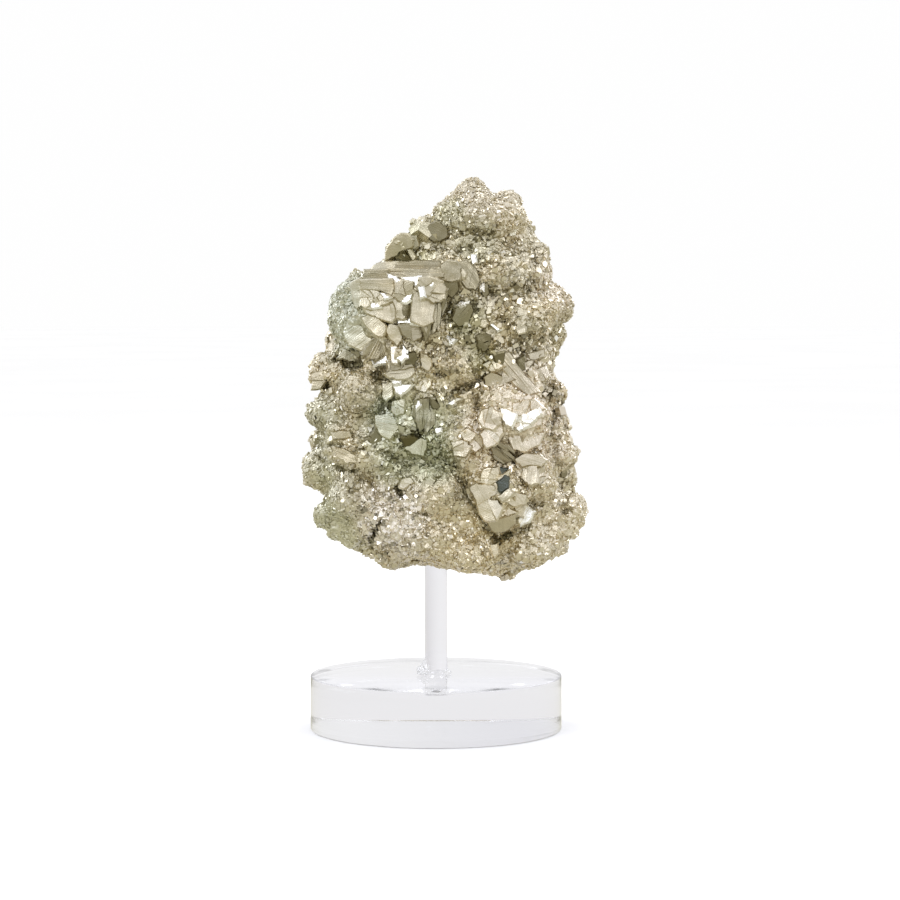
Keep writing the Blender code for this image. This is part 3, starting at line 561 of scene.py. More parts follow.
def added(name):
    """Names the object that an operator has just added."""
    piece = bpy.context.active_object
    piece.name = name
    piece.data.name = name
    return piece


def settle(piece):
    """Puts the piece's place, turn and size into its mesh."""
    take(piece)
    bpy.ops.object.transform_apply(location=True, rotation=True, scale=True)
    return piece


def finish_with(piece, kind, **settings):
    """Adds a modifier and applies it."""
    take(piece)
    modifier = piece.modifiers.new(kind.lower(), kind)
    for key, value in settings.items():
        setattr(modifier, key, value)
    bpy.ops.object.modifier_apply(modifier=modifier.name)
    return piece


def wear(piece, material):
    piece.data.materials.clear()
    piece.data.materials.append(material)
    return piece


def read(items, key, width=1, kind=np.float32):
    """One property of all the given parts of a mesh, as an array."""
    values = np.empty(len(items) * width, kind)
    items.foreach_get(key, values)
    return values.reshape(-1, width) if width > 1 else values


def write(items, key, values, kind=np.float32):
    """Sets one property of all the given parts of a mesh from an array."""
    items.foreach_set(key, np.asarray(values).astype(kind).ravel())


def move_corners(piece, points):
    write(piece.data.vertices, "co", points)
    piece.data.update()


def unit(vectors):
    return vectors / np.maximum(np.linalg.norm(vectors, axis=-1, keepdims=True), 1e-12)


# ---- shader arithmetic -----------------------------------------------------------------------


class Wire:
    """A value in a shader tree that can be written in ordinary arithmetic."""

    def __init__(self, tree, socket=None):
        self.tree = tree
        self.socket = socket

    def add(self, kind, settings=None, inputs=None, output=0):
        """Any node: its settings are set first, then the values or links of its sockets."""
        node = self.tree.nodes.new(kind)
        for key, value in (settings or {}).items():
            setattr(node, key, value)
        for key, value in (inputs or {}).items():
            if isinstance(value, Wire):
                self.tree.links.new(value.socket, node.inputs[key])
            else:
                node.inputs[key].default_value = value
        return Wire(self.tree, node.outputs[output])

    def calc(self, operation, *values, clamp=False):
        inputs = dict(enumerate(values))
        return self.add("ShaderNodeMath", {"operation": operation, "use_clamp": clamp}, inputs)

    def __add__(self, other):
        return self.calc("ADD", self, other)

    def __sub__(self, other):
        return self.calc("SUBTRACT", self, other)

    def __mul__(self, other):
        return self.calc("MULTIPLY", self, other)

    def __radd__(self, other):
        return self.calc("ADD", other, self)

    def __rsub__(self, other):
        return self.calc("SUBTRACT", other, self)

    def __rmul__(self, other):
        return self.calc("MULTIPLY", other, self)

    def clamped(self):
        return self.calc("ADD", self, 0.0, clamp=True)

    def scaled(self, size):
        """A vector wire stretched by one factor or by three."""
        if isinstance(size, Wire):
            return self.add("ShaderNodeVectorMath", {"operation": "SCALE"}, {0: self, 3: size})
        size = size if isinstance(size, tuple) else (size, size, size)
        return self.add("ShaderNodeVectorMath", {"operation": "MULTIPLY"}, {0: self, 1: size})

    def plus(self, other):
        """The sum of two vectors."""
        return self.add("ShaderNodeVectorMath", {"operation": "ADD"}, {0: self, 1: other})

    def ramp(self, low, high):
        """0 below low, 1 above high and a soft step between them."""
        return self.add("ShaderNodeMapRange", {"interpolation_type": "SMOOTHSTEP"},
                        {"Value": self, "From Min": low, "From Max": high})

    def tint(self, *colours):
        """Between two colours, by this wire as the factor."""
        low, high = (hue if isinstance(hue, Wire) else (*hue, 1.0) for hue in colours)
        return self.add("ShaderNodeMix", {"data_type": "RGBA"}, {0: self, 6: low, 7: high},
                        output=2)

    def place(self):
        """The place on the object, in millimetres."""
        return self.add("ShaderNodeTexCoord", output=3).scaled(1000.0)

    def kept(self, label, output=2):
        """A number stored on the mesh, or a vector at output 1."""
        return self.add("ShaderNodeAttribute", {"attribute_name": label}, output=output)

    def part(self, vector, axis):
        """One of a vector's three numbers."""
        return self.add("ShaderNodeSeparateXYZ", None, {0: vector}, output=axis)

    def noise(self, place, scale, detail=3.0, roughness=0.55):
        return self.add("ShaderNodeTexNoise", None,
                        {"Vector": place, "Scale": scale, "Detail": detail, "Roughness": roughness})


def material(name, **fixed):
    """A Principled material with its uniform values set, and a bare wire to build with."""
    made = bpy.data.materials.new(name)
    made.use_nodes = True
    shader = made.node_tree.nodes["Principled BSDF"]
    for key, value in fixed.items():
        shader.inputs[key.replace("_", " ")].default_value = value
    return made, shader, Wire(made.node_tree)


def feed(shader, tree_wire, **wires):
    for key, wire in wires.items():
        tree_wire.tree.links.new(wire.socket, shader.inputs[key.replace("_", " ")])


# ---- pyrite colours --------------------------------------------------------------------------

STRAW = (0.60, 0.55, 0.415)
CREAM = (0.75, 0.68, 0.53)
SAGE = (0.60, 0.61, 0.46)
MIST = (0.545, 0.57, 0.465)
MOSS = (0.34, 0.36, 0.22)
ROSE = (0.82, 0.735, 0.61)
AMBER = (0.73, 0.64, 0.45)
UMBER = (0.45, 0.41, 0.29)
OLIVE = (0.36, 0.36, 0.21)
# A dark olive used as random tarnish and as painted shade in hollows and clefts.
TARNISH_AND_SHADE = (0.10, 0.085, 0.03)
PALE = (0.92, 0.92, 0.87)
INK = (0.12, 0.135, 0.125)

# Where the colour drifts: colour, centre and reach in millimetres, and strength. The green and
# pink drifts are partly painted reflection: tints of the room as well as the mineral's hue.
DRIFTS = (
    (CREAM, (40, -12, 84), 34, 0.80),
    # painted light: lifts the lower right lobe where it faces down into shade
    (CREAM, (46, -12, 70), 18, 0.50),
    (SAGE, (-42, -12, 104), 20, 0.70),
    (SAGE, (-34, -14, 76), 22, 0.65),
    (MIST, (-32, -20, 148), 24, 0.80),
    (SAGE, (-8, -28, 106), 24, 0.85),
    (ROSE, (34, -20, 112), 28, 0.75),
    (ROSE, (14, -28, 104), 14, 0.60),
    (ROSE, (-14, -24, 76), 20, 0.90),
    (PALE, (-14, -26, 76), 18, 0.35),
    (ROSE, (18, -8, 184), 22, 0.50),
    (AMBER, (12, -18, 62), 30, 0.85),
    (UMBER, (-44, -12, 104), 16, 0.60),
    (UMBER, (-26, -30, 119), 11, 0.15),
    # painted shade: a darker band under the belly
    (MOSS, (0, -28, 97), 12, 0.60),
    (OLIVE, (-8, -12, 169), 14, 0.75),
    (OLIVE, (14, -16, 172), 12, 0.40),
    (OLIVE, (10, -22, 143), 12, 0.70),
    (UMBER, (7, -26, 162), 7, 0.60),
    (UMBER, (20, -6, 186), 22, 0.42),
    (UMBER, (45, 0, 151), 14, 0.75),
    (OLIVE, (5, -12, 181), 9, 0.45),
    (UMBER, (35, -18, 122), 9, 0.60),
    (CREAM, (-4, -28, 121), 8, 0.50),
    (OLIVE, (-14, -26, 93), 9, 0.60),
    (OLIVE, (15, -26, 132), 9, 0.50),
    (CREAM, (35, -14, 141), 11, 0.80),
    (CREAM, (-4, -12, 62), 10, 0.80),
    (CREAM, (25, -14, 63), 10, 0.80),
    (CREAM, (-4, -14, 171), 7, 0.50),
    (ROSE, (40, -10, 156), 17, 0.50),
    (MIST, (-17, -28, 113), 9, 0.80),
    (SAGE, (22, 26, 120), 34, 0.60),
    (ROSE, (-24, 24, 90), 32, 0.60),
    (AMBER, (6, 22, 165), 30, 0.50),
)


DOME = (6, -26, 163)           # middle of a smooth stretch, in millimetres
LUMP = (-26, -29, 119)         # middle of a lump with swirling growth


def near(wire, place, centre, inner, outer):
    """1 within the inner reach of a place, 0 beyond the outer, in millimetres."""
    away = wire.add("ShaderNodeVectorMath", {"operation": "DISTANCE"}, {0: place, 1: centre},
                    output=1)
    return 1 - away.ramp(inner, outer)


def drifting_colour(wire, place):
    """The colour at a place given in millimetres, with drifts that partly paint reflection and
    shade.
    """
    patch = wire.noise(place, 0.055, 2.0)
    colour = (patch.ramp(0.42, 0.62) * 0.6).tint(STRAW, AMBER)
    for hue, centre, reach, strength in DRIFTS:
        close = near(wire, place, centre, 0.35 * reach, reach)
        colour = (close * strength).tint(colour, hue)
    return colour


def toned(colour, tone):
    """The colour from dark at tone 0, as it is at 1, to a painted highlight at 1.4; ink below 0."""
    colour = tone.ramp(-0.1, 1.0).tint(TARNISH_AND_SHADE, colour)
    colour = (tone.ramp(1.0, 1.4) * 0.9).tint(colour, PALE)
    return tone.ramp(-0.4, -0.2).tint(INK, colour)


def druse_material():
    """Tiny crystals: each has one tone and one gloss of its own."""
    made, shader, wire = material("pyrite_druse", Metallic=1.0)
    home = wire.kept("home", 1)
    tone = wire.kept("tone")
    shade = wire.kept("shade")
    colour = toned(drifting_colour(wire, home.scaled(1000.0)), tone)
    # painted shade: darker where the grain is shut in or lies in a cleft
    colour = (shade * 0.85).tint(colour, TARNISH_AND_SHADE)
    feed(shader, wire, Base_Color=colour, Roughness=0.24 + 0.2 * (1 - tone).clamped())
    return made


def face_material():
    """Grown crystal faces, with fine growth lines across them."""
    made, shader, wire = material("pyrite_faces", Metallic=1.0)
    lines = wire.add("ShaderNodeUVMap", {"uv_map": "growth"})
    place = wire.place()
    tone = wire.kept("tone")
    shade = wire.kept("shade")
    broad = wire.noise(lines.scaled((0.03, 1.1, 0)), 1.0, 2.0)
    fine = wire.noise(lines.scaled((0.12, 4.5, 0)), 1.0, 3.0)
    pits = wire.noise(place, 1.6, 4.0)
    colour = drifting_colour(wire, place)
    colour = (broad.ramp(0.45, 0.75) * 0.35).tint(colour, UMBER)
    colour = (fine.ramp(0.5, 0.7) * 0.35).tint(colour, UMBER)
    colour = (wire.noise(place, 0.7, 4.0).ramp(0.45, 0.7) * 0.35).tint(colour, UMBER)
    colour = toned(colour, tone)
    # painted shade: darker where a chip is shut in
    colour = (shade * 0.7).tint(colour, TARNISH_AND_SHADE)
    height = 0.8 * broad + 0.55 * fine + 0.5 * pits
    warp = wire.add("ShaderNodeBump", None, {"Strength": 1.0, "Distance": 0.001,
                                            "Height": wire.noise(place, 0.16, 1.0)})
    bump = wire.add("ShaderNodeBump", None, {"Strength": 0.7, "Distance": 0.00025,
                                            "Height": height, "Normal": warp})
    feed(shader, wire, Base_Color=colour, Roughness=0.15 + 0.16 * pits + 0.10 * fine, Normal=bump)
    return made


def body_material():
    """The massive ground under the druse: a fine crust of faces, each tilted its own way."""
    made, shader, wire = material("pyrite_ground", Metallic=1.0)
    place = wire.place()
    shade = wire.kept("shade")
    facing = wire.add("ShaderNodeNewGeometry", output=1)
    fine, broad = (wire.add("ShaderNodeTexVoronoi", {"feature": "F1"},
                            {"Vector": place, "Scale": scale}, output=1) for scale in (1.25, 0.5))
    lean = fine.plus((-0.5, -0.5, -0.5)).scaled(0.65)
    lean = lean.plus(broad.plus((-0.5, -0.5, -0.5)).scaled(0.35))
    lean = lean.scaled(1 - 0.7 * near(wire, place, DOME, 5.0, 9.0))
    on_lump = near(wire, place, LUMP, 6.0, 9.5)
    swirl = wire.add("ShaderNodeTexWave", {"wave_type": "RINGS", "rings_direction": "SPHERICAL"},
                     {"Vector": place.plus(tuple(-value for value in LUMP)), "Scale": 0.24,
                      "Distortion": 9.0, "Detail": 3.0, "Detail Scale": 0.9}, output=1)
    normal = wire.add("ShaderNodeVectorMath", {"operation": "NORMALIZE"}, {0: facing.plus(lean)})
    tone = wire.add("ShaderNodeSeparateColor", None, {"Color": fine})
    grit = wire.noise(place, 0.9, 4.0, 0.6)
    colour = drifting_colour(wire, place)
    colour = (tone.ramp(0.5, 1.0) * 0.45).tint(colour, UMBER)
    colour = (grit.ramp(0.52, 0.7) * 0.5).tint(colour, TARNISH_AND_SHADE)
    colour = (on_lump * swirl.ramp(0.5, 0.1) * 0.5).tint(colour, UMBER)
    # painted shade: darker where the ground is shut in or lies in a cleft
    colour = (shade * 0.95).tint(colour, TARNISH_AND_SHADE)
    bump = wire.add("ShaderNodeBump", None, {"Strength": 1.0, "Distance": 0.0006,
                                            "Height": on_lump * swirl, "Normal": normal})
    feed(shader, wire, Base_Color=colour, Roughness=0.3 + 0.2 * grit, Normal=bump)
    return made


# ---- acrylic ---------------------------------------------------------------------------------


def clear_material(name, colour, ior, roughness, waviness, grain):
    """Clear cast plastic with faint polishing marks."""
    made, shader, wire = material(name, Base_Color=(*colour, 1.0), IOR=ior,
                                  Transmission_Weight=1.0)
    place = wire.place()
    marks = wire.noise(place, grain, 3.0)
    bump = wire.add("ShaderNodeBump", None,
                    {"Strength": waviness, "Distance": 0.0002, "Height": marks})
    feed(shader, wire, Roughness=roughness + 0.03 * marks.ramp(0.5, 0.8), Normal=bump)
    return made


def add_cylinder(name, box, vertices):
    """An upright cylinder that fills the box."""
    low, high = box
    bpy.ops.mesh.primitive_cylinder_add(vertices=vertices, radius=(high.x - low.x) / 2,
                                        depth=high.z - low.z,
                                        location=(0, 0, (low.z + high.z) / 2))
    return settle(added(name))


def smooth(piece, angle):
    """Smooth shading but for edges sharper than the angle in degrees."""
    take(piece)
    bpy.ops.object.shade_smooth_by_angle(angle=math.radians(angle))
    return piece


def rod_hole():
    """The radius of a hole that takes the rod."""
    low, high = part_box("rod")
    return (high.x - low.x) / 2 + FIT_GAP


def make_disc():
    low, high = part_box("base")
    radius = (high.x - low.x) / 2
    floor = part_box("rod")[0].z - FIT_GAP
    disc = add_cylinder("acrylic_disc", (low, high), 192)
    with editing(disc):
        pick(disc, "polygons", lambda middle, normal: normal.z > 0.9)
        bpy.ops.mesh.inset(thickness=radius - rod_hole())
        bpy.ops.mesh.extrude_region_move(TRANSFORM_OT_translate={"value": (0, 0, floor - high.z)})
    with editing(disc, "EDGE"):
        near_rim = radius * 0.99
        pick(disc, "edges", lambda a, b: a.xy.length > near_rim and abs(a.z - b.z) < 1e-6)
        bpy.ops.mesh.bevel(offset=EDGE_BEVEL, segments=4, profile=0.5)
    return smooth(disc, 40)


def make_rod():
    rod = add_cylinder("acrylic_rod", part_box("rod"), 96)
    with editing(rod, "EDGE"):
        pick(rod, "edges", lambda a, b: abs(a.z - b.z) < 1e-6)
        bpy.ops.mesh.bevel(offset=EDGE_BEVEL, segments=3, profile=0.5)
    return smooth(rod, 40)


def make_bead():
    """Clear cement squeezed out round the rod, run up into a lump on the left front."""
    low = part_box("glue_bead")[0]
    inner = rod_hole()
    bpy.ops.mesh.primitive_torus_add(major_radius=inner + 0.4 * MM, minor_radius=0.85 * MM,
                                     major_segments=64, minor_segments=20,
                                     location=(0, 0, low.z + 0.2 * MM))
    blobs = [added("cement_bead")]
    for turn, out, up, size in DRIPS:
        spot = Matrix.Rotation(math.radians(turn), 3, "Z") @ Vector((inner + out * MM, 0, 0))
        bpy.ops.mesh.primitive_ico_sphere_add(subdivisions=3, radius=size * MM,
                                              location=(spot.x, spot.y, low.z + up * MM))
        blobs.append(added("drip"))
    bpy.ops.object.select_all(action="DESELECT")
    for blob in blobs:
        blob.select_set(True)
    bpy.context.view_layer.objects.active = blobs[0]
    bpy.ops.object.join()
    bead = settle(blobs[0])
    finish_with(bead, "REMESH", mode="VOXEL", voxel_size=BEAD_VOXEL)
    finish_with(bead, "SMOOTH", iterations=4, factor=0.5)
    for radius, depth, middle in ((inner, 0.04, low.z), (0.02, low.z, low.z / 2)):
        bpy.ops.mesh.primitive_cylinder_add(vertices=96, radius=radius, depth=depth,
                                            location=(0, 0, middle))
        cutter = added("cutter")
        finish_with(bead, "BOOLEAN", operation="DIFFERENCE", object=cutter, solver="EXACT")
        bpy.data.objects.remove(cutter, do_unlink=True)
    return smooth(bead, 50)


# ---- crystal habits --------------------------------------------------------------------------


def cut_cube(name, planes):
    """A unit cube cut back by planes given as (direction, distance from the middle)."""
    bpy.ops.mesh.primitive_cube_add(size=1.0)
    gem = added(name)
    take(gem)
    bpy.ops.object.mode_set(mode="EDIT")
    for direction, distance in planes:
        normal = Vector(direction).normalized()
        bpy.ops.mesh.select_all(action="SELECT")
        bpy.ops.mesh.bisect(plane_co=normal * distance, plane_no=normal, use_fill=True,
                            clear_outer=True)
    bpy.ops.object.mode_set(mode="OBJECT")
    return gem


def make_habits():
    """The crystal shapes of unit size that everything is grown from, as arrays."""
    signs = (-1, 1)
    corners = [(a, b, c) for a in signs for b in signs for c in signs]
    edges_210 = [plane for a in signs for b in signs
                 for plane in ((2 * a, b, 0), (0, 2 * a, b), (b, 0, 2 * a))]
    rules = {
        "plain": [],
        "cube": [(corner, 0.80) for corner in corners] + [(edge, 0.545) for edge in edges_210],
        "slab": [(corner, 0.82) for corner in corners[::3]]
                + [((3, 1, 0), 0.53), ((-1, 0, 4), 0.52)],
        "pyritohedron": [(edge, 0.435) for edge in edges_210]
                        + [(corner, 0.62) for corner in corners],
        "clipped": [(corners[7], 0.62), (corners[1], 0.70), ((1, -1, 0.2), 0.55)],
        "shard": [((1, 0.4, 0.6), 0.42), ((-0.7, 1, 0.3), 0.45), ((0.2, -0.8, 1), 0.47),
                  ((-0.5, -0.6, -1), 0.52)],
    }
    return {name: habit_arrays(cut_cube(name, planes)) for name, planes in rules.items()}


def habit_arrays(gem):
    """The gem's mesh as arrays; the gem itself is removed."""
    mesh = gem.data
    arrays = {"points": read(mesh.vertices, "co", 3),
              "loops": read(mesh.loops, "vertex_index", 1, np.int32),
              "starts": read(mesh.polygons, "loop_start", 1, np.int32),
              "totals": read(mesh.polygons, "loop_total", 1, np.int32),
              "normals": read(mesh.polygons, "normal", 3)}
    bpy.data.objects.remove(gem, do_unlink=True)
    return arrays


class Growth:
    """Gathers crystals as arrays and joins them in one mesh."""

    def __init__(self, name):
        self.name = name
        self.parts = []
        self.counts = np.zeros(3, int)

    def add(self, points, loops, starts, *values):
        """Points, the corner numbers of all faces in turn, and where each face starts in them;
        then home, tone and shade of each point, and growth lines of each corner number."""
        point_count, loop_count, _ = self.counts
        self.parts.append((points, loops + point_count, starts + loop_count, *values))
        self.counts += (len(points), len(loops), len(starts))

    def grow(self, shape, centres, turns, edges, tones, shades):
        """Copies of one habit: centres and edges in metres, turns as 3x3 matrices."""
        count, corner_count = len(centres), len(shape["points"])
        own = shape["points"][None] * edges[:, None]
        placed = np.einsum("nij,nkj->nki", turns, own) + centres[:, None]
        steps = np.arange(count)[:, None]
        loops = shape["loops"][None] + steps * corner_count
        starts = shape["starts"][None] + steps * len(shape["loops"])
        axis = np.repeat(np.abs(shape["normals"]).argmax(1), shape["totals"])
        at = own[:, shape["loops"]] / MM
        row = np.arange(len(axis))
        lines = np.stack([at[:, row, (axis + 2) % 3], at[:, row, (axis + 1) % 3]], 2)
        lines = lines + (steps * 7.31)[:, :, None]
        self.add(placed.reshape(-1, 3), loops.ravel(), starts.ravel(),
                 np.repeat(centres, corner_count, 0), np.repeat(tones, corner_count),
                 np.repeat(shades, corner_count), lines.reshape(-1, 2))

    def grow_one(self, shape, centre, turn, edges, tone, shade=0.0):
        self.grow(shape, np.array([centre]), np.array([turn]), np.array([edges]),
                  np.array([tone]), np.array([shade]))

    def join(self):
        points, loops, starts, homes, tones, shades, lines = map(np.concatenate, zip(*self.parts))
        mesh = bpy.data.meshes.new(self.name)
        for items, count in zip((mesh.vertices, mesh.loops, mesh.polygons), self.counts):
            items.add(int(count))
        write(mesh.vertices, "co", points)
        write(mesh.loops, "vertex_index", loops, np.int32)
        write(mesh.polygons, "loop_start", starts, np.int32)
        mesh.update(calc_edges=True)
        for label, values in (("tone", tones), ("shade", shades)):
            write(mesh.attributes.new(label, "FLOAT", "POINT").data, "value", values)
        write(mesh.attributes.new("home", "FLOAT_VECTOR", "POINT").data, "vector", homes)
        write(mesh.uv_layers.new(name="growth").data, "uv", lines)
        made = bpy.data.objects.new(self.name, mesh)
        bpy.context.scene.collection.objects.link(made)
        mesh.shade_flat()
        return made


# ---- the specimen ----------------------------------------------------------------------------


def corners_of(piece):
    """The corners of a mesh and the direction its surface faces at each, as arrays."""
    corners = piece.data.vertices
    return read(corners, "co", 3).astype(float), read(corners, "normal", 3).astype(float)


def seen_at(places):
    """Where the camera sees each place, in sight units."""
    own = (places - np.array(CAMERA_PLACE)) @ np.array(CAMERA_TILT)
    return np.stack([SIGHT_MIDDLE + own[:, 0] / own[:, 1] * FOCAL,
                     SIGHT_MIDDLE - own[:, 2] / own[:, 1] * FOCAL], 1)


def inward_at(places):
    """The direction in which the camera sees each place."""
    return unit(places - np.array(CAMERA_PLACE))


def warped(places, size, amount, rng):
    """The places, each moved a little by smooth waves of about the given size."""
    width = places.shape[1]
    moved = places.copy()
    for octave in (1.0, 0.5):
        ways = rng.normal(0, 2.2 / (size * octave), (3, width, width))
        starts = rng.uniform(0, 2 * math.pi, (3, width))
        for way, start in zip(ways, starts):
            moved += np.sin(places @ way + start) * amount * octave / 2
    return moved


def away_from_path(spots, path):
    """The distance of each flat spot from a path of straight stretches."""
    away = np.full(len(spots), 1e9)
    for start, end in zip(path[:-1], path[1:]):
        start, along = np.array(start, float), np.subtract(end, start)
        share = np.clip((spots - start) @ along / (along @ along), 0, 1)
        away = np.minimum(away, np.linalg.norm(spots - start - share[:, None] * along, axis=1))
    return away


def lobe_centres(ground, points, rng):
    """The middle, reach and height in metres of every lobe, front and back."""
    unit_size = SENSOR / LENS * -CAMERA_PLACE.y / SIGHT_WIDTH
    lobes = []
    for name, spot, reach, height in BOSSES:
        if len(spot) == 3:
            lobes.append((Vector(spot) * MM, reach * MM, height * MM))
            continue
        hit = ground.ray_cast(CAMERA_PLACE, sight_line(*spot))[0]
        if hit:
            lobes.append((hit, reach * unit_size, height * MM))
    behind = np.flatnonzero(points[:, 1] > -2 * MM)
    for index in rng.choice(behind, SPARE_BOSSES):
        reach = rng.uniform(*SPARE_REACH) * MM
        lobes.append((Vector(points[index]), reach, reach * SPARE_HEIGHT))
    return lobes


def swell(body, rng):
    """Lobes swell out of the ground."""
    ground = tree_of(body)
    points, normals = corners_of(body)
    rise = np.zeros(len(points))
    bent = warped(points, 7 * MM, 1.1 * MM, rng)
    for middle, reach, height in lobe_centres(ground, points, rng):
        away = np.linalg.norm(bent - np.array(middle), axis=1) / reach
        lift = height * np.clip(1 - away ** 2, 0, 1) ** 0.7
        rise = np.where(np.abs(lift) > np.abs(rise), lift, rise)
    move_corners(body, points + normals * (rise - DRAW_IN)[:, None])


def sunk_at(places, normals):
    """How deep the clefts of the front are at each place, in metres."""
    rng = np.random.default_rng(SEED + 7)
    spots = warped(seen_at(places), 16.0, 1.8, rng)
    facing = np.clip(-(normals * inward_at(places)).sum(1) * 3, 0, 1)
    sunk = np.zeros(len(places))
    for name, path, half_width, depth in CLEFTS:
        away = away_from_path(spots, path) / half_width
        sunk = np.maximum(sunk, depth * MM * np.clip(1 - away ** 2, 0, 1))
    return sunk * facing


def in_cleft(places, normals):
    """How far each place of the front lies within a deep cleft, from 0 to 1."""
    inward = inward_at(places)
    front = -(normals * inward).sum(1) > -0.3
    dark = (sunk_at(places, -inward) / MM - CLEFT_START) / CLEFT_SPAN
    return np.clip(dark, 0, CLEFT_DARK) * front


def cleave(body):
    """Clefts and holes are cut into the front of the ground."""
    points, normals = corners_of(body)
    move_corners(body, points + inward_at(points) * sunk_at(points, normals)[:, None])


def make_body(rng):
    """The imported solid's surface, remeshed, swollen into lobes and broken up by fine relief."""
    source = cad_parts["pyrite"]
    body = bpy.data.objects.new("pyrite_ground", source.data.copy())
    bpy.context.scene.collection.objects.link(body)
    with editing(body):
        bpy.ops.mesh.select_all(action="SELECT")
        bpy.ops.mesh.remove_doubles(threshold=2e-6)
    finish_with(body, "REMESH", mode="VOXEL", voxel_size=COARSE_VOXEL)
    finish_with(body, "SMOOTH", iterations=10, factor=0.5)
    finish_with(body, "REMESH", mode="VOXEL", voxel_size=BODY_VOXEL)
    swell(body, rng)
    seat = tree_of(body)
    cleave(body)
    finish_with(body, "REMESH", mode="VOXEL", voxel_size=BODY_VOXEL)
    finish_with(body, "SMOOTH", iterations=1, factor=0.5)
    for name, size, strength in (("lumps", 4.5, 0.9), ("grains", 1.9, 0.5)):
        relief = bpy.data.textures.new(name, "VORONOI")
        relief.noise_scale = size * MM
        relief.distance_metric = "DISTANCE"
        finish_with(body, "DISPLACE", texture=relief, texture_coords="LOCAL",
                    strength=-strength * MM, mid_level=0.35)
    body.data.shade_flat()
    return body, seat


def turn_matrix(angles):
    return Euler([math.radians(angle) for angle in angles]).to_matrix()


def grow_main(habits, rng):
    """The main crystals with their growth plates and satellites."""
    growth = Growth("pyrite_crystals")
    for name, habit, edges, centre, turn, plates, satellites in CRYSTALS:
        edges = np.array(edges) * MM + CRYSTAL_GROWTH
        centre = np.array(centre) * MM
        matrix = np.array(turn_matrix(turn))
        tone = rng.uniform(0.7, 1.0)
        growth.grow_one(habits[habit], centre, matrix, edges, tone)
        for _ in range(plates):
            grow_plate(growth, habits, rng, matrix, centre, edges, tone)
        for _ in range(satellites):
            grow_satellite(growth, habits[habit], rng, matrix, centre, edges, tone)
    return growth


def grow_plate(growth, habits, rng, matrix, centre, edges, tone):
    """A thin step of parallel growth on one of a crystal's faces."""
    axis = rng.integers(3)
    side = rng.choice((-1, 1))
    proud = rng.uniform(0.12, 0.5) * MM
    size = edges * rng.uniform(0.25, 0.75, 3)
    size[axis] = 1.2 * MM
    spot = (edges - size) / 2 * rng.uniform(-1, 1, 3)
    spot[axis] = side * (edges[axis] / 2 + proud - size[axis] / 2)
    wobble = np.array(Euler(rng.normal(0, math.radians(1.5), 3)).to_matrix())
    habit = rng.choice(("plain", "clipped", "slab"))
    growth.grow_one(habits[habit], centre + matrix @ spot, matrix @ wobble, size,
                    np.clip(tone + rng.normal(0, 0.12), 0.3, 1.1))


def grow_satellite(growth, shape, rng, matrix, centre, edges, tone):
    """A smaller crystal of the same habit, grown nearly parallel on its parent's skin."""
    way = rng.normal(size=3)
    way /= np.abs(way).max()
    size = edges * rng.uniform(0.28, 0.5)
    spot = way * edges * rng.uniform(0.34, 0.42)
    wobble = np.array(Euler(rng.normal(0, math.radians(7), 3)).to_matrix())
    growth.grow_one(shape, centre + matrix @ spot, matrix @ wobble, size,
                    np.clip(tone + rng.normal(0, 0.15), 0.3, 1.1))


# ---- broken faces ----------------------------------------------------------------------------


def sight_line(across, down):
    """The direction in which the camera sees a point given in sight units."""
    way = Vector(((across - SIGHT_MIDDLE) / FOCAL, 1.0, (SIGHT_MIDDLE - down) / FOCAL))
    return CAMERA_TILT @ way


def clip(outline, spot, way):
    """The part of a flat outline that lies on the side of a line to which `way` points."""
    kept = []
    for start, end in zip(outline, outline[1:] + outline[:1]):
        before, after = (start - spot).dot(way), (end - spot).dot(way)
        if before >= 0:
            kept.append(start)
        if before * after < 0:
            kept.append(start + (end - start) * (before / (before - after)))
    return kept


def clean(outline):
    """The outline without corners that fall together."""
    return [point for point, after in zip(outline, outline[1:] + outline[:1])
            if (after - point).length > 0.05 * MM]


def area_of(outline):
    return sum(a.x * b.y - b.x * a.y for a, b in zip(outline, outline[1:] + outline[:1])) / 2


def middle_of(outline):
    return sum(outline, Vector((0, 0))) / len(outline)


def ragged(rings, rng):
    """The rings with each edge bent twice, in the same way on every ring."""
    size = len(rings[0][0])
    bends = [[(share + rng.normal(0, 0.07), rng.normal(0, 1.0)) for share in (0.33, 0.67)]
             for _ in range(size)]
    broken = []
    for ring, drop, taper in rings:
        points = []
        for start, end, bend in zip(ring, ring[1:] + ring[:1], bends):
            along = end - start
            stray = min(RAGGED_EDGE, 0.08 * along.length)
            across = Vector((along.y, -along.x)).normalized() * stray
            points.append(start)
            points += [start + along * share + across * aside for share, aside in bend]
        broken.append((points, drop, taper))
    return broken


def grown(outline, gap):
    """The outline with its sides moved outwards by the gap, or inwards by a gap below nothing."""
    moved = []
    befores, afters = outline[-1:] + outline[:-1], outline[1:] + outline[:1]
    for before, point, after in zip(befores, outline, afters):
        first, second = (point - before).normalized(), (after - point).normalized()
        out = Vector((first.y + second.y, -first.x - second.x))
        moved.append(point + out * (gap / max(1 + first.dot(second), 0.35)))
    return moved


def break_steps(outline, count, direction):
    """Parallel strips of unequal width, lying along the direction in degrees."""
    across = Vector((-math.sin(math.radians(direction)), math.cos(math.radians(direction))))
    reach = [point.dot(across) for point in outline]
    low, high = min(reach), max(reach)
    rng = np.random.default_rng(int(1000 * (high - low)) + count)
    marks = np.cumsum(rng.uniform(0.45, 1.5, count))
    marks = low + (high - low) * np.concatenate([[0], marks / marks[-1]])
    strips = []
    for start, end in zip(marks[:-1], marks[1:]):
        strip = clip(outline, across * start, across)
        strip = clip(strip, across * end, -across)
        strips.append(strip)
    return strips


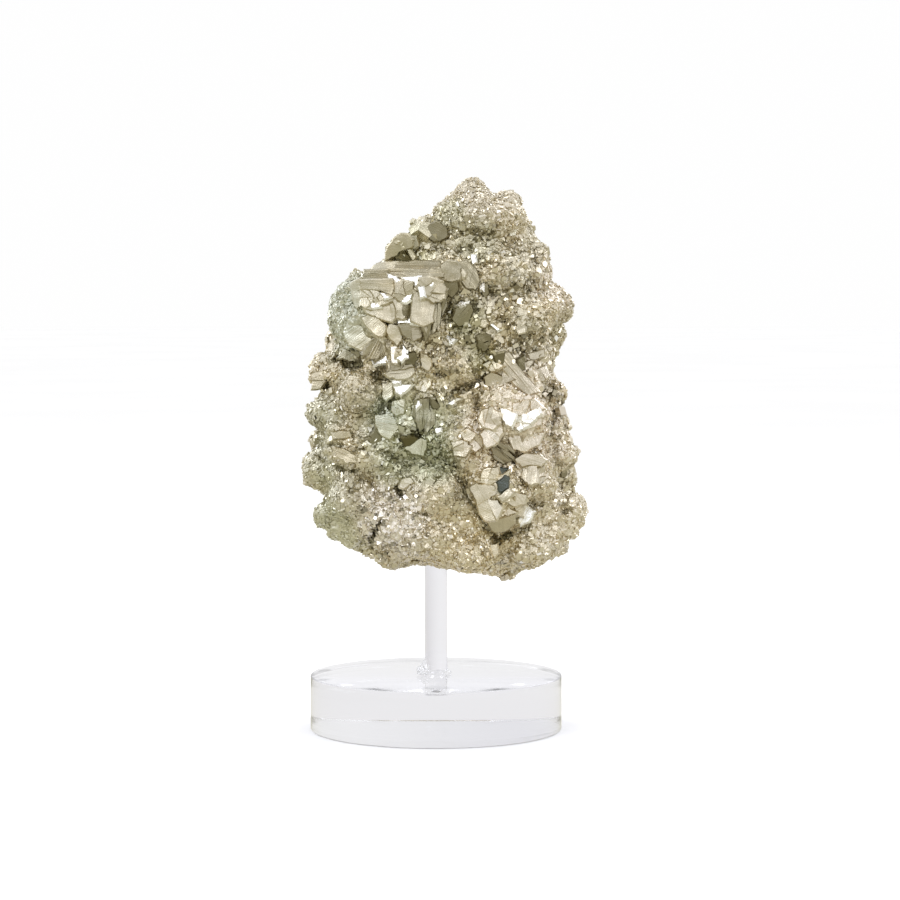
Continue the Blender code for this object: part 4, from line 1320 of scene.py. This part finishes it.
def break_mosaic(outline, count, rng):
    """Angular blocks, made by cutting the largest in two again and again."""
    blocks = [outline]
    for _ in range(count - 1):
        blocks.sort(key=area_of)
        block = blocks.pop()
        middle = middle_of(block)
        spread = max(block, key=lambda point: (point - middle).length) - middle
        turn = math.atan2(spread.y, spread.x) + rng.normal(0, 0.5)
        way = Vector((math.cos(turn), math.sin(turn)))
        spot = middle + spread * rng.uniform(-0.35, 0.35)
        blocks += [clip(block, spot, way), clip(block, spot, -way)]
    return blocks


class Facet:
    """A flat face drawn in the camera's view and laid on the specimen where it is seen."""

    def __init__(self, seat, outline, lean, swing, proud):
        lean, swing = math.radians(lean), math.radians(swing)
        self.normal = Vector((math.sin(swing) * math.cos(lean), -math.cos(swing) * math.cos(lean),
                              math.sin(lean)))
        self.right = Vector((0, 0, 1)).cross(self.normal).normalized()
        self.up = self.normal.cross(self.right)
        self.outline = outline
        middle = [sum(values) / len(values) for values in zip(*outline)]
        hits = []
        for across, down in (*outline, middle, middle):
            inner = [0.75 * value + 0.25 * centre for value, centre in zip((across, down), middle)]
            hit = seat.ray_cast(CAMERA_PLACE, sight_line(*inner))[0]
            if hit:
                hits.append(hit)
        self.origin = hits[-1]
        rises = sorted((hit - self.origin).dot(self.normal) for hit in hits)
        self.origin = self.origin + self.normal * (rises[len(rises) // 2] + proud * MM)

    def flat_outline(self):
        """The outline in the face's own plane, in metres, running anticlockwise."""
        flat = []
        for across, down in self.outline:
            way = sight_line(across, down)
            reach = (self.origin - CAMERA_PLACE).dot(self.normal) / way.dot(self.normal)
            place = CAMERA_PLACE + way * reach - self.origin
            flat.append(Vector((place.dot(self.right), place.dot(self.up))))
        return flat if area_of(flat) > 0 else flat[::-1]

    def place(self, point, height=0.0):
        return self.origin + self.right * point.x + self.up * point.y + self.normal * height


def ring_faces(levels, size):
    """Corner numbers and face starts of a closed stack of rings, from the top ring down."""
    loops = list(range(size))
    starts = [0]
    for level in range(levels - 1):
        for index in range(size):
            following = (index + 1) % size
            starts.append(len(loops))
            loops += [level * size + following, level * size + index,
                      (level + 1) * size + index, (level + 1) * size + following]
    starts.append(len(loops))
    loops += [(levels - 1) * size + index for index in range(size)][::-1]
    return loops, starts


def growth_lines(facet, points, loops, direction):
    """For each corner number, its place along and across the direction in degrees, in
    millimetres."""
    turn = math.radians(direction)
    along = Vector((math.cos(turn), math.sin(turn)))
    across = Vector((-along.y, along.x))
    flat = [Vector(((point - facet.origin).dot(facet.right), (point - facet.origin).dot(facet.up)))
            for point in points]
    return np.array([(flat[index].dot(along), flat[index].dot(across)) for index in loops]) / MM


def grow_block(growth, facet, outline, rng, height, tilt, tone, thickness, direction,
               shade=0.0, flare=0.0):
    """One block of a broken face: a bevelled top, straight sides and a tapered root."""
    top = grown(outline, -FACET_GAP - FACET_BEVEL)
    rim = grown(outline, -FACET_GAP)
    if area_of(top) < LEAST_BLOCK:
        return
    middle = middle_of(top)
    slope = Vector(rng.normal(0, math.tan(math.radians(tilt)), 2))
    rings = [(top, 0.0, 1.0), (rim, -FACET_BEVEL, 1.0)]
    if flare:
        rings.append((grown(rim, flare), -SKIRT_DROP, 1.0))
    rings.append((rim, -thickness, ROOT_TAPER if flare else CHIP_TAPER))
    if flare:
        rings = ragged(rings, rng)
    points = []
    for ring, drop, taper in rings:
        for point in ring:
            point = middle + (point - middle) * taper
            points.append(facet.place(point, height + drop + (point - middle).dot(slope)))
    loops, starts = ring_faces(len(rings), len(rings[0][0]))
    lines = growth_lines(facet, points, loops, direction)
    count = len(points)
    home = np.array(facet.place(middle))
    growth.add(np.array(points), np.array(loops), np.array(starts), np.tile(home, (count, 1)),
               np.full(count, tone), np.full(count, shade), lines + rng.uniform(-40, 40))


def keep_whole(flat, rng):
    return [flat], [0.0], 0.0, rng.uniform(0, 180)


def in_steps(flat, rng, count, direction, rise, tilt=STEP_TILT):
    blocks = break_steps(flat, count, direction)
    return blocks, [rng.normal(0, rise) * MM for _ in blocks], tilt, direction


def in_mosaic(flat, rng, count, tilt=MOSAIC_TILT):
    blocks = break_mosaic(flat, count, rng)
    return blocks, [rng.normal(0, MOSAIC_RISE) * MM for _ in blocks], tilt, rng.uniform(0, 180)


# Each gives the blocks of a face, their heights, their tilt and the direction of their lines.
BREAKS = {"plain": keep_whole, "steps": in_steps, "mosaic": in_mosaic}


def grow_facets(seat, rng):
    """The drawn faces of the front, each broken in its own way."""
    growth = Growth("pyrite_faces")
    for name, lean, swing, proud, tone, broken, outline in FACETS:
        facet = Facet(seat, outline, lean, swing, proud)
        flat = grown(facet.flat_outline(), FACET_LAP)
        kind, *values = broken
        blocks, heights, tilt, direction = BREAKS[kind](flat, rng, *values)
        for block, height in zip(blocks, heights):
            block = clean(block)
            if len(block) < 3:
                continue
            if kind != "plain":
                block = grown(block, BLOCK_LAP)
            dim = FACET_TONE if 0 < tone < WHITE_TONE else 1.0
            own_tone = tone * dim * (1 + rng.normal(0, 0.06))
            grow_block(growth, facet, block, rng, height, tilt, own_tone, FACET_ROOT, direction,
                       flare=SKIRT_FLARE)
    return growth


class Chip:
    """A flat face of its own on the surface, with the same axes as a Facet."""

    def __init__(self, origin, normal):
        self.origin = origin
        self.normal = normal
        self.right = normal.orthogonal().normalized()
        self.up = self.normal.cross(self.right)

    place = Facet.place


def chip_outline(rng, size):
    """An irregular angular outline about twice `size` across, running anticlockwise."""
    count = rng.integers(3, 7)
    turns = np.cumsum(rng.uniform(0.5, 1.5, count))
    turns *= 2 * math.pi / turns[-1]
    stretch = rng.uniform(0.4, 0.95)
    return [Vector((math.cos(turn) * size, math.sin(turn) * size * stretch)) for turn in turns]


def grow_crust(body, ground, covers, rng):
    """Broken chips over the whole ground, leaning a little out of it, in a few pieces."""
    places, normals = scatter(*surface_of(body), CHIP_TRIES, rng)
    _, lean, _, chip, share = zone_values(places, rng)
    keep = rng.random(CHIP_TRIES) < CHIP_DENSITY * share * (2 * MM / chip) ** 2
    size = chip * np.exp(rng.normal(0, 0.32, CHIP_TRIES))
    size *= SIDE_CHIP + (1 - SIDE_CHIP) * np.abs(normals[:, 1]) ** 0.5
    frames = standing_frames(normals, lean * 0.55, rng)
    keep &= rng.random(CHIP_TRIES) > in_cleft(places, normals) * 1.2
    order = np.argsort(np.arctan2(places[:, 1], places[:, 0]))
    order = order[keep[order]]
    pieces = []
    for number, part in enumerate(np.array_split(order, CHIP_PIECES)):
        growth = Growth(f"crust_{number + 1}")
        for index in part:
            place = Vector(places[index])
            if clearance(place, covers) < 0.85 * size[index] or in_the_way(place, covers):
                continue
            normal = Vector(frames[index][:, 2])
            origin = place + Vector(normals[index]) * (rng.uniform(-0.1, 0.22) * size[index])
            shade = hollow_at(ground, place, Vector(normals[index]))
            grow_chip(growth, Chip(origin, normal), rng, size[index], shade)
        pieces.append(growth.join())
    return pieces


def grow_chip(growth, chip, rng, size, shade):
    """One chip: whole, a small mosaic or a few steps."""
    outline = chip_outline(rng, size)
    tone = rng.normal(0.88, 0.12)
    manner = rng.random()
    turn = rng.uniform(0, 180)
    if manner < WHOLE_CHIPS:
        blocks, tilt, rise = [outline], 0.0, 0.0
    elif manner < BLOCKY_CHIPS:
        blocks, tilt, rise = break_mosaic(outline, rng.integers(2, 6), rng), 9.0, 0.16
    else:
        blocks, tilt, rise = break_steps(outline, rng.integers(2, 6), turn), 3.0, 0.14
    for block in blocks:
        if len(block) > 2:
            grow_block(growth, chip, block, rng, rng.normal(0, rise) * MM, tilt,
                       tone + rng.normal(0, 0.05), size * 1.3, turn, shade)


def clearance(place, covers):
    """How far the place is from the nearest of the given trees, in metres."""
    gaps = [tree.find_nearest(place, 4 * MM)[3] for tree in covers]
    return min([gap for gap in gaps if gap is not None], default=1.0)


def in_the_way(place, covers):
    """Whether something at the place would hide a broken face close behind it."""
    way = (place - CAMERA_PLACE).normalized()
    for tree in covers:
        if tree.ray_cast(place - way * 0.2 * MM, way, 4.5 * MM)[0] is not None:
            return True
    return False


def hollow_at(ground, place, normal):
    return float(shade_at(ground, [np.array(place)], [np.array(normal)])[0])


# ---- druse -----------------------------------------------------------------------------------


def surface_of(piece):
    """The corners of a mesh, and the three corner numbers of each of its triangles."""
    mesh = piece.data
    mesh.calc_loop_triangles()
    corners = read(mesh.loop_triangles, "vertices", 3, np.int32)
    return read(mesh.vertices, "co", 3).astype(float), corners


def tree_of(piece):
    points, corners = surface_of(piece)
    return BVHTree.FromPolygons(points.tolist(), corners.tolist())


def scatter(points, corners, count, rng):
    """Places spread evenly over a surface, with the direction the surface faces there."""
    a, b, c = (points[corners[:, i]] for i in range(3))
    across = np.cross(b - a, c - a)
    area = np.linalg.norm(across, axis=1)
    chosen = rng.choice(len(area), count, p=area / area.sum())
    u, v = rng.random(count), rng.random(count)
    flip = u + v > 1
    u[flip], v[flip] = 1 - u[flip], 1 - v[flip]
    places = a[chosen] + u[:, None] * (b - a)[chosen] + v[:, None] * (c - a)[chosen]
    return places, across[chosen] / np.maximum(area[chosen], 1e-20)[:, None]


def standing_frames(normals, tilt, rng):
    """Turns that stand a crystal on the surface, leant by about `tilt` radians and spun."""
    count = len(normals)
    up = unit(normals + np.tan(np.minimum(tilt, 1.3))[:, None] * rng.normal(0, 0.6, (count, 3)))
    side = unit(np.cross(up, unit(rng.normal(size=(count, 3)))))
    return np.stack([side, np.cross(up, side), up], 2)


def jitter_frames(frames, spread, rng):
    """The frames, each shaken by a small turn and squared up again."""
    frames = frames + rng.normal(0, spread, frames.shape)
    first = unit(frames[:, :, 2])
    second = unit(frames[:, :, 0] - (frames[:, :, 0] * first).sum(1)[:, None] * first)
    return np.stack([second, np.cross(first, second), first], 2)


def nearest(places, spots):
    """The number of the spot nearest to each place."""
    found = np.empty(len(places), np.int64)
    for first in range(0, len(places), 4000):
        block = places[first:first + 4000]
        found[first:first + 4000] = ((block[:, None] - spots[None]) ** 2).sum(2).argmin(1)
    return found


def zone_values(places, rng):
    """Grain in metres, lean in radians, cover, chip in metres and its share at each place."""
    centres = np.array([row[1] for row in ZONES]) * MM
    reaches = np.array([row[2] for row in ZONES]) * MM
    away = np.linalg.norm(places[:, None] - centres[None], axis=2) / reaches[None]
    away += rng.normal(0, 0.08, away.shape)
    chosen = away.argmin(1)
    plain = away.min(1) > 1
    table = np.array([row[3:] for row in ZONES])[chosen]
    table[plain] = PLAIN_ZONE
    return table[:, 0] * MM, np.radians(table[:, 1]), table[:, 2], table[:, 3] * MM, table[:, 4]


def hollowness(tree, places, normals, reach=14 * MM, rays=12):
    """How far each place is shut in by the surface round it, from 0 to 1."""
    rng = np.random.default_rng(SEED + 5)
    ways = unit(rng.normal(size=(rays, 3)))
    hidden = np.zeros(len(places))
    for number, (place, normal) in enumerate(zip(places, normals)):
        start = Vector(place + normal * 0.9 * MM)
        for aim in ways + normal * 1.05:
            hit = tree.ray_cast(start, Vector(aim), reach)
            if hit[0] is not None:
                hidden[number] += 1 - hit[3] / reach * 0.6
    return hidden / rays


def shade_at(tree, places, normals, rays=12):
    """How dark each place is for being shut in, from 0 to 1."""
    hidden = hollowness(tree, places, normals, rays=rays)
    return np.clip(hidden * HOLLOW_GAIN - HOLLOW_START, 0, 1)


def place_grains(surface, covers, rng):
    """Where grains grow, clear of the larger faces: places, normals, sizes and leans."""
    places, normals = scatter(*surface, DRUSE_TRIES, rng)
    grain, lean, cover = zone_values(places, rng)[:3]
    wanted = DRUSE_DENSITY * cover * (1.0 * MM / grain) ** 2
    keep = rng.random(len(places)) < wanted * (1 - 0.85 * in_cleft(places, normals))
    places, normals, grain, lean = places[keep], normals[keep], grain[keep], lean[keep]
    size = grain * np.exp(rng.normal(0, 0.28, len(places)))
    size *= SIDE_GRAIN + (1 - SIDE_GRAIN) * np.abs(normals[:, 1]) ** 0.5
    away = np.array([clearance(Vector(place), covers) for place in places])
    clear = np.array([not in_the_way(Vector(place), covers[:1]) for place in places])
    keep = (away > 0.3 * size) & clear
    return places[keep], normals[keep], size[keep], lean[keep]


def turn_grains(surface, places, normals, lean, rng):
    """How grains lie: most of them nearly as their patch does, the others on their own."""
    spots, spot_normals = scatter(*surface, PATCHES, rng)
    spot_lean = zone_values(spots, rng)[1]
    patch_frames = standing_frames(spot_normals, spot_lean * 0.7, rng)
    frames = jitter_frames(patch_frames[nearest(places, spots)], PATCH_WOBBLE, rng)
    agree = (frames[:, :, 2] * normals).sum(1) > PATCH_AGREE
    own = (rng.random(len(places)) < LONE_GRAINS) | ~agree
    frames[own] = standing_frames(normals[own], lean[own], rng)
    return frames


def grow_druse(body, ground, covers, habits, rng):
    """Grains over the whole ground, in a few pieces."""
    surface = surface_of(body)
    places, normals, size, lean = place_grains(surface, covers, rng)
    count = len(places)
    # painted shade of each grain, from being shut in or lying in a cleft
    shades = np.maximum(shade_at(ground, places, normals), in_cleft(places, normals))
    frames = turn_grains(surface, places, normals, lean, rng)
    edges = size[:, None] * rng.uniform(0.7, 1.35, (count, 3))
    edges *= np.stack([1.25 - 0.3 * lean, 1.25 - 0.3 * lean, 0.35 + 0.6 * lean], 1)
    lift = edges[:, 2] * (0.5 - GRAIN_SINK) * rng.uniform(0.3, 1, count)
    centres = places + normals * lift[:, None]
    tones = np.clip(rng.normal(0.88, 0.13, count), 0.2, 1.3)
    # painted shade: some coarse grains darkened to stand for the shaded gaps between them
    tones[rng.random(count) < DARK_GRAINS * (lean > COARSE_LEAN)] *= 0.4
    kinds = rng.choice(len(GRAIN_HABITS), count, p=GRAIN_SHARES)
    order = np.argsort(np.arctan2(places[:, 1], places[:, 0]))
    pieces = []
    for number, part in enumerate(np.array_split(order, GRAIN_PIECES)):
        growth = Growth(f"druse_{number + 1}")
        for kind, habit in enumerate(GRAIN_HABITS):
            some = part[kinds[part] == kind]
            growth.grow(habits[habit], centres[some], frames[some], edges[some], tones[some],
                        shades[some])
        pieces.append(growth.join())
    return pieces


def store_shade(piece, ground):
    """Keeps on the piece its painted shade, from being shut in or lying in a cleft."""
    points, normals = corners_of(piece)
    shades = np.maximum(shade_at(ground, points, normals, rays=6), in_cleft(points, normals))
    write(piece.data.attributes.new("shade", "FLOAT", "POINT").data, "value", shades)


# ---- studio ----------------------------------------------------------------------------------


def inside_clear(wire):
    """One for rays that have passed into clear plastic, none for the others."""
    depth = wire.add("ShaderNodeLightPath", output="Transmission Depth")
    return wire.calc("GREATER_THAN", depth, 0.5)


def make_floor():
    bpy.ops.mesh.primitive_circle_add(vertices=128, radius=9.0, fill_type="NGON",
                                      location=(0, 0, -0.25 * MM))
    floor = settle(added("floor"))
    made, shader, wire = material("floor", Roughness=0.9, Specular_IOR_Level=0.1)
    place = wire.add("ShaderNodeTexCoord", output=3)
    tint = wire.noise(place, 3.0, 2.0).ramp(0.3, 0.7).tint((0.88, 0.88, 0.88), (0.90, 0.90, 0.90))
    feed(shader, wire, Base_Color=tint)
    # For glossy rays and rays inside clear plastic the floor glows: a painted reflection of the
    # room.
    far = wire.part(place, 1).ramp(0.6, 1.8).tint(ROOM_BELOW, ROOM_LEVEL)
    side = wire.part(place, 0).ramp(-0.12, 0.3).tint(CLEAR_FLOOR_LEFT, CLEAR_FLOOR_RIGHT)
    glossy = wire.add("ShaderNodeLightPath", output="Is Glossy Ray")
    seen = Wire(wire.tree, shader.outputs[0])
    for ray, colour in ((glossy, far), (inside_clear(wire), side)):
        glow = wire.add("ShaderNodeEmission", None, {"Color": colour})
        seen = wire.add("ShaderNodeMixShader", None, {0: ray, 1: seen, 2: glow})
    wire.tree.links.new(seen.socket, wire.tree.nodes["Material Output"].inputs["Surface"])
    wear(floor, made)


def make_light(name, place, aim_height, size, power, shows_through):
    lamp = bpy.data.lights.new(name, "AREA")
    lamp.shape = "RECTANGLE"
    lamp.size, lamp.size_y = size
    lamp.energy = power
    lamp.color = LAMP_COLOUR
    holder = bpy.data.objects.new(name, lamp)
    holder.location = place
    holder.visible_transmission = shows_through
    way = Vector((0, 0, aim_height)) - Vector(place)
    holder.rotation_euler = way.to_track_quat("-Z", "Y").to_euler()
    bpy.context.scene.collection.objects.link(holder)


def make_world():
    world = bpy.data.worlds.new("studio")
    bpy.context.scene.world = world
    world.use_nodes = True
    wire = Wire(world.node_tree)
    seen = wire.add("ShaderNodeLightPath", output="Is Camera Ray")
    glossy = wire.add("ShaderNodeLightPath", output="Is Glossy Ray")
    through = inside_clear(wire)
    way = wire.add("ShaderNodeTexCoord", output=0)
    height = wire.part(way, 2)
    room = height.ramp(-0.35, 0.35).tint(ROOM_BELOW, ROOM_ABOVE)
    level = 1 - wire.calc("ABSOLUTE", height).ramp(0.10, 0.25)
    room = (level * wire.part(way, 1).ramp(0.3, 0.7)).tint(room, ROOM_LEVEL)
    colour = glossy.tint(ROOM_LIGHT, room)
    colour = through.tint(colour, wire.part(way, 0).ramp(-0.5, 0.5).tint(CLEAR_LEFT, CLEAR_RIGHT))
    colour = seen.tint(colour, BACKDROP)
    ground = world.node_tree.nodes["Background"]
    world.node_tree.links.new(colour.socket, ground.inputs["Color"])


def make_camera():
    lens = bpy.data.cameras.new("camera")
    lens.sensor_width = SENSOR
    lens.lens = LENS
    camera = bpy.data.objects.new("camera", lens)
    camera.location = CAMERA_PLACE
    camera.rotation_euler = (math.radians(90) - CAMERA_DIP, 0, 0)
    bpy.context.scene.collection.objects.link(camera)
    bpy.context.scene.camera = camera


def ride(piece, material_made, slot, *nodes):
    wear(piece, material_made)
    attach(piece, "root")
    if nodes:
        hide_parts(*nodes)


def make_specimen():
    rng = np.random.default_rng(SEED)
    habits = make_habits()
    body, seat = make_body(rng)
    ground = tree_of(body)
    faces = face_material()
    crystals = grow_main(habits, rng).join()
    facets = grow_facets(seat, rng).join()
    covers = [tree_of(facets), tree_of(crystals)]
    crust = grow_crust(body, ground, covers, rng)
    covers += [tree_of(piece) for piece in crust]
    store_shade(body, ground)
    ride(body, body_material(), "pyrite", "pyrite")
    ride(crystals, faces, "pyrite")
    ride(facets, faces, "pyrite")
    for piece in crust:
        ride(piece, faces, "pyrite")
    druse = druse_material()
    for piece in grow_druse(body, ground, covers, habits, rng):
        ride(piece, druse, "pyrite")


def make_stand():
    ride(make_disc(), clear_material("acrylic_disc", *ACRYLIC, 0.04, 0.02, 0.05),
         "acrylic", "base")
    ride(make_rod(), clear_material("acrylic_rod", *ACRYLIC, 0.0, 0.02, 0.08),
         "acrylic", "rod")
    ride(make_bead(), clear_material("cement", *CEMENT, 0.0, 0.25, 0.9),
         "cement", "glue_bead")


def allow_inner_reflections():
    """Light inside clear plastic turns many corners before it comes out."""
    cycles = bpy.context.scene.cycles
    cycles.max_bounces = 24
    cycles.glossy_bounces = 16
    cycles.transmission_bounces = 24


make_camera()
allow_inner_reflections()
make_world()
make_floor()
for lamp_row in LAMPS:
    make_light(*lamp_row)
make_stand()
make_specimen()
bpy.context.scene.view_settings.view_transform = "Standard"
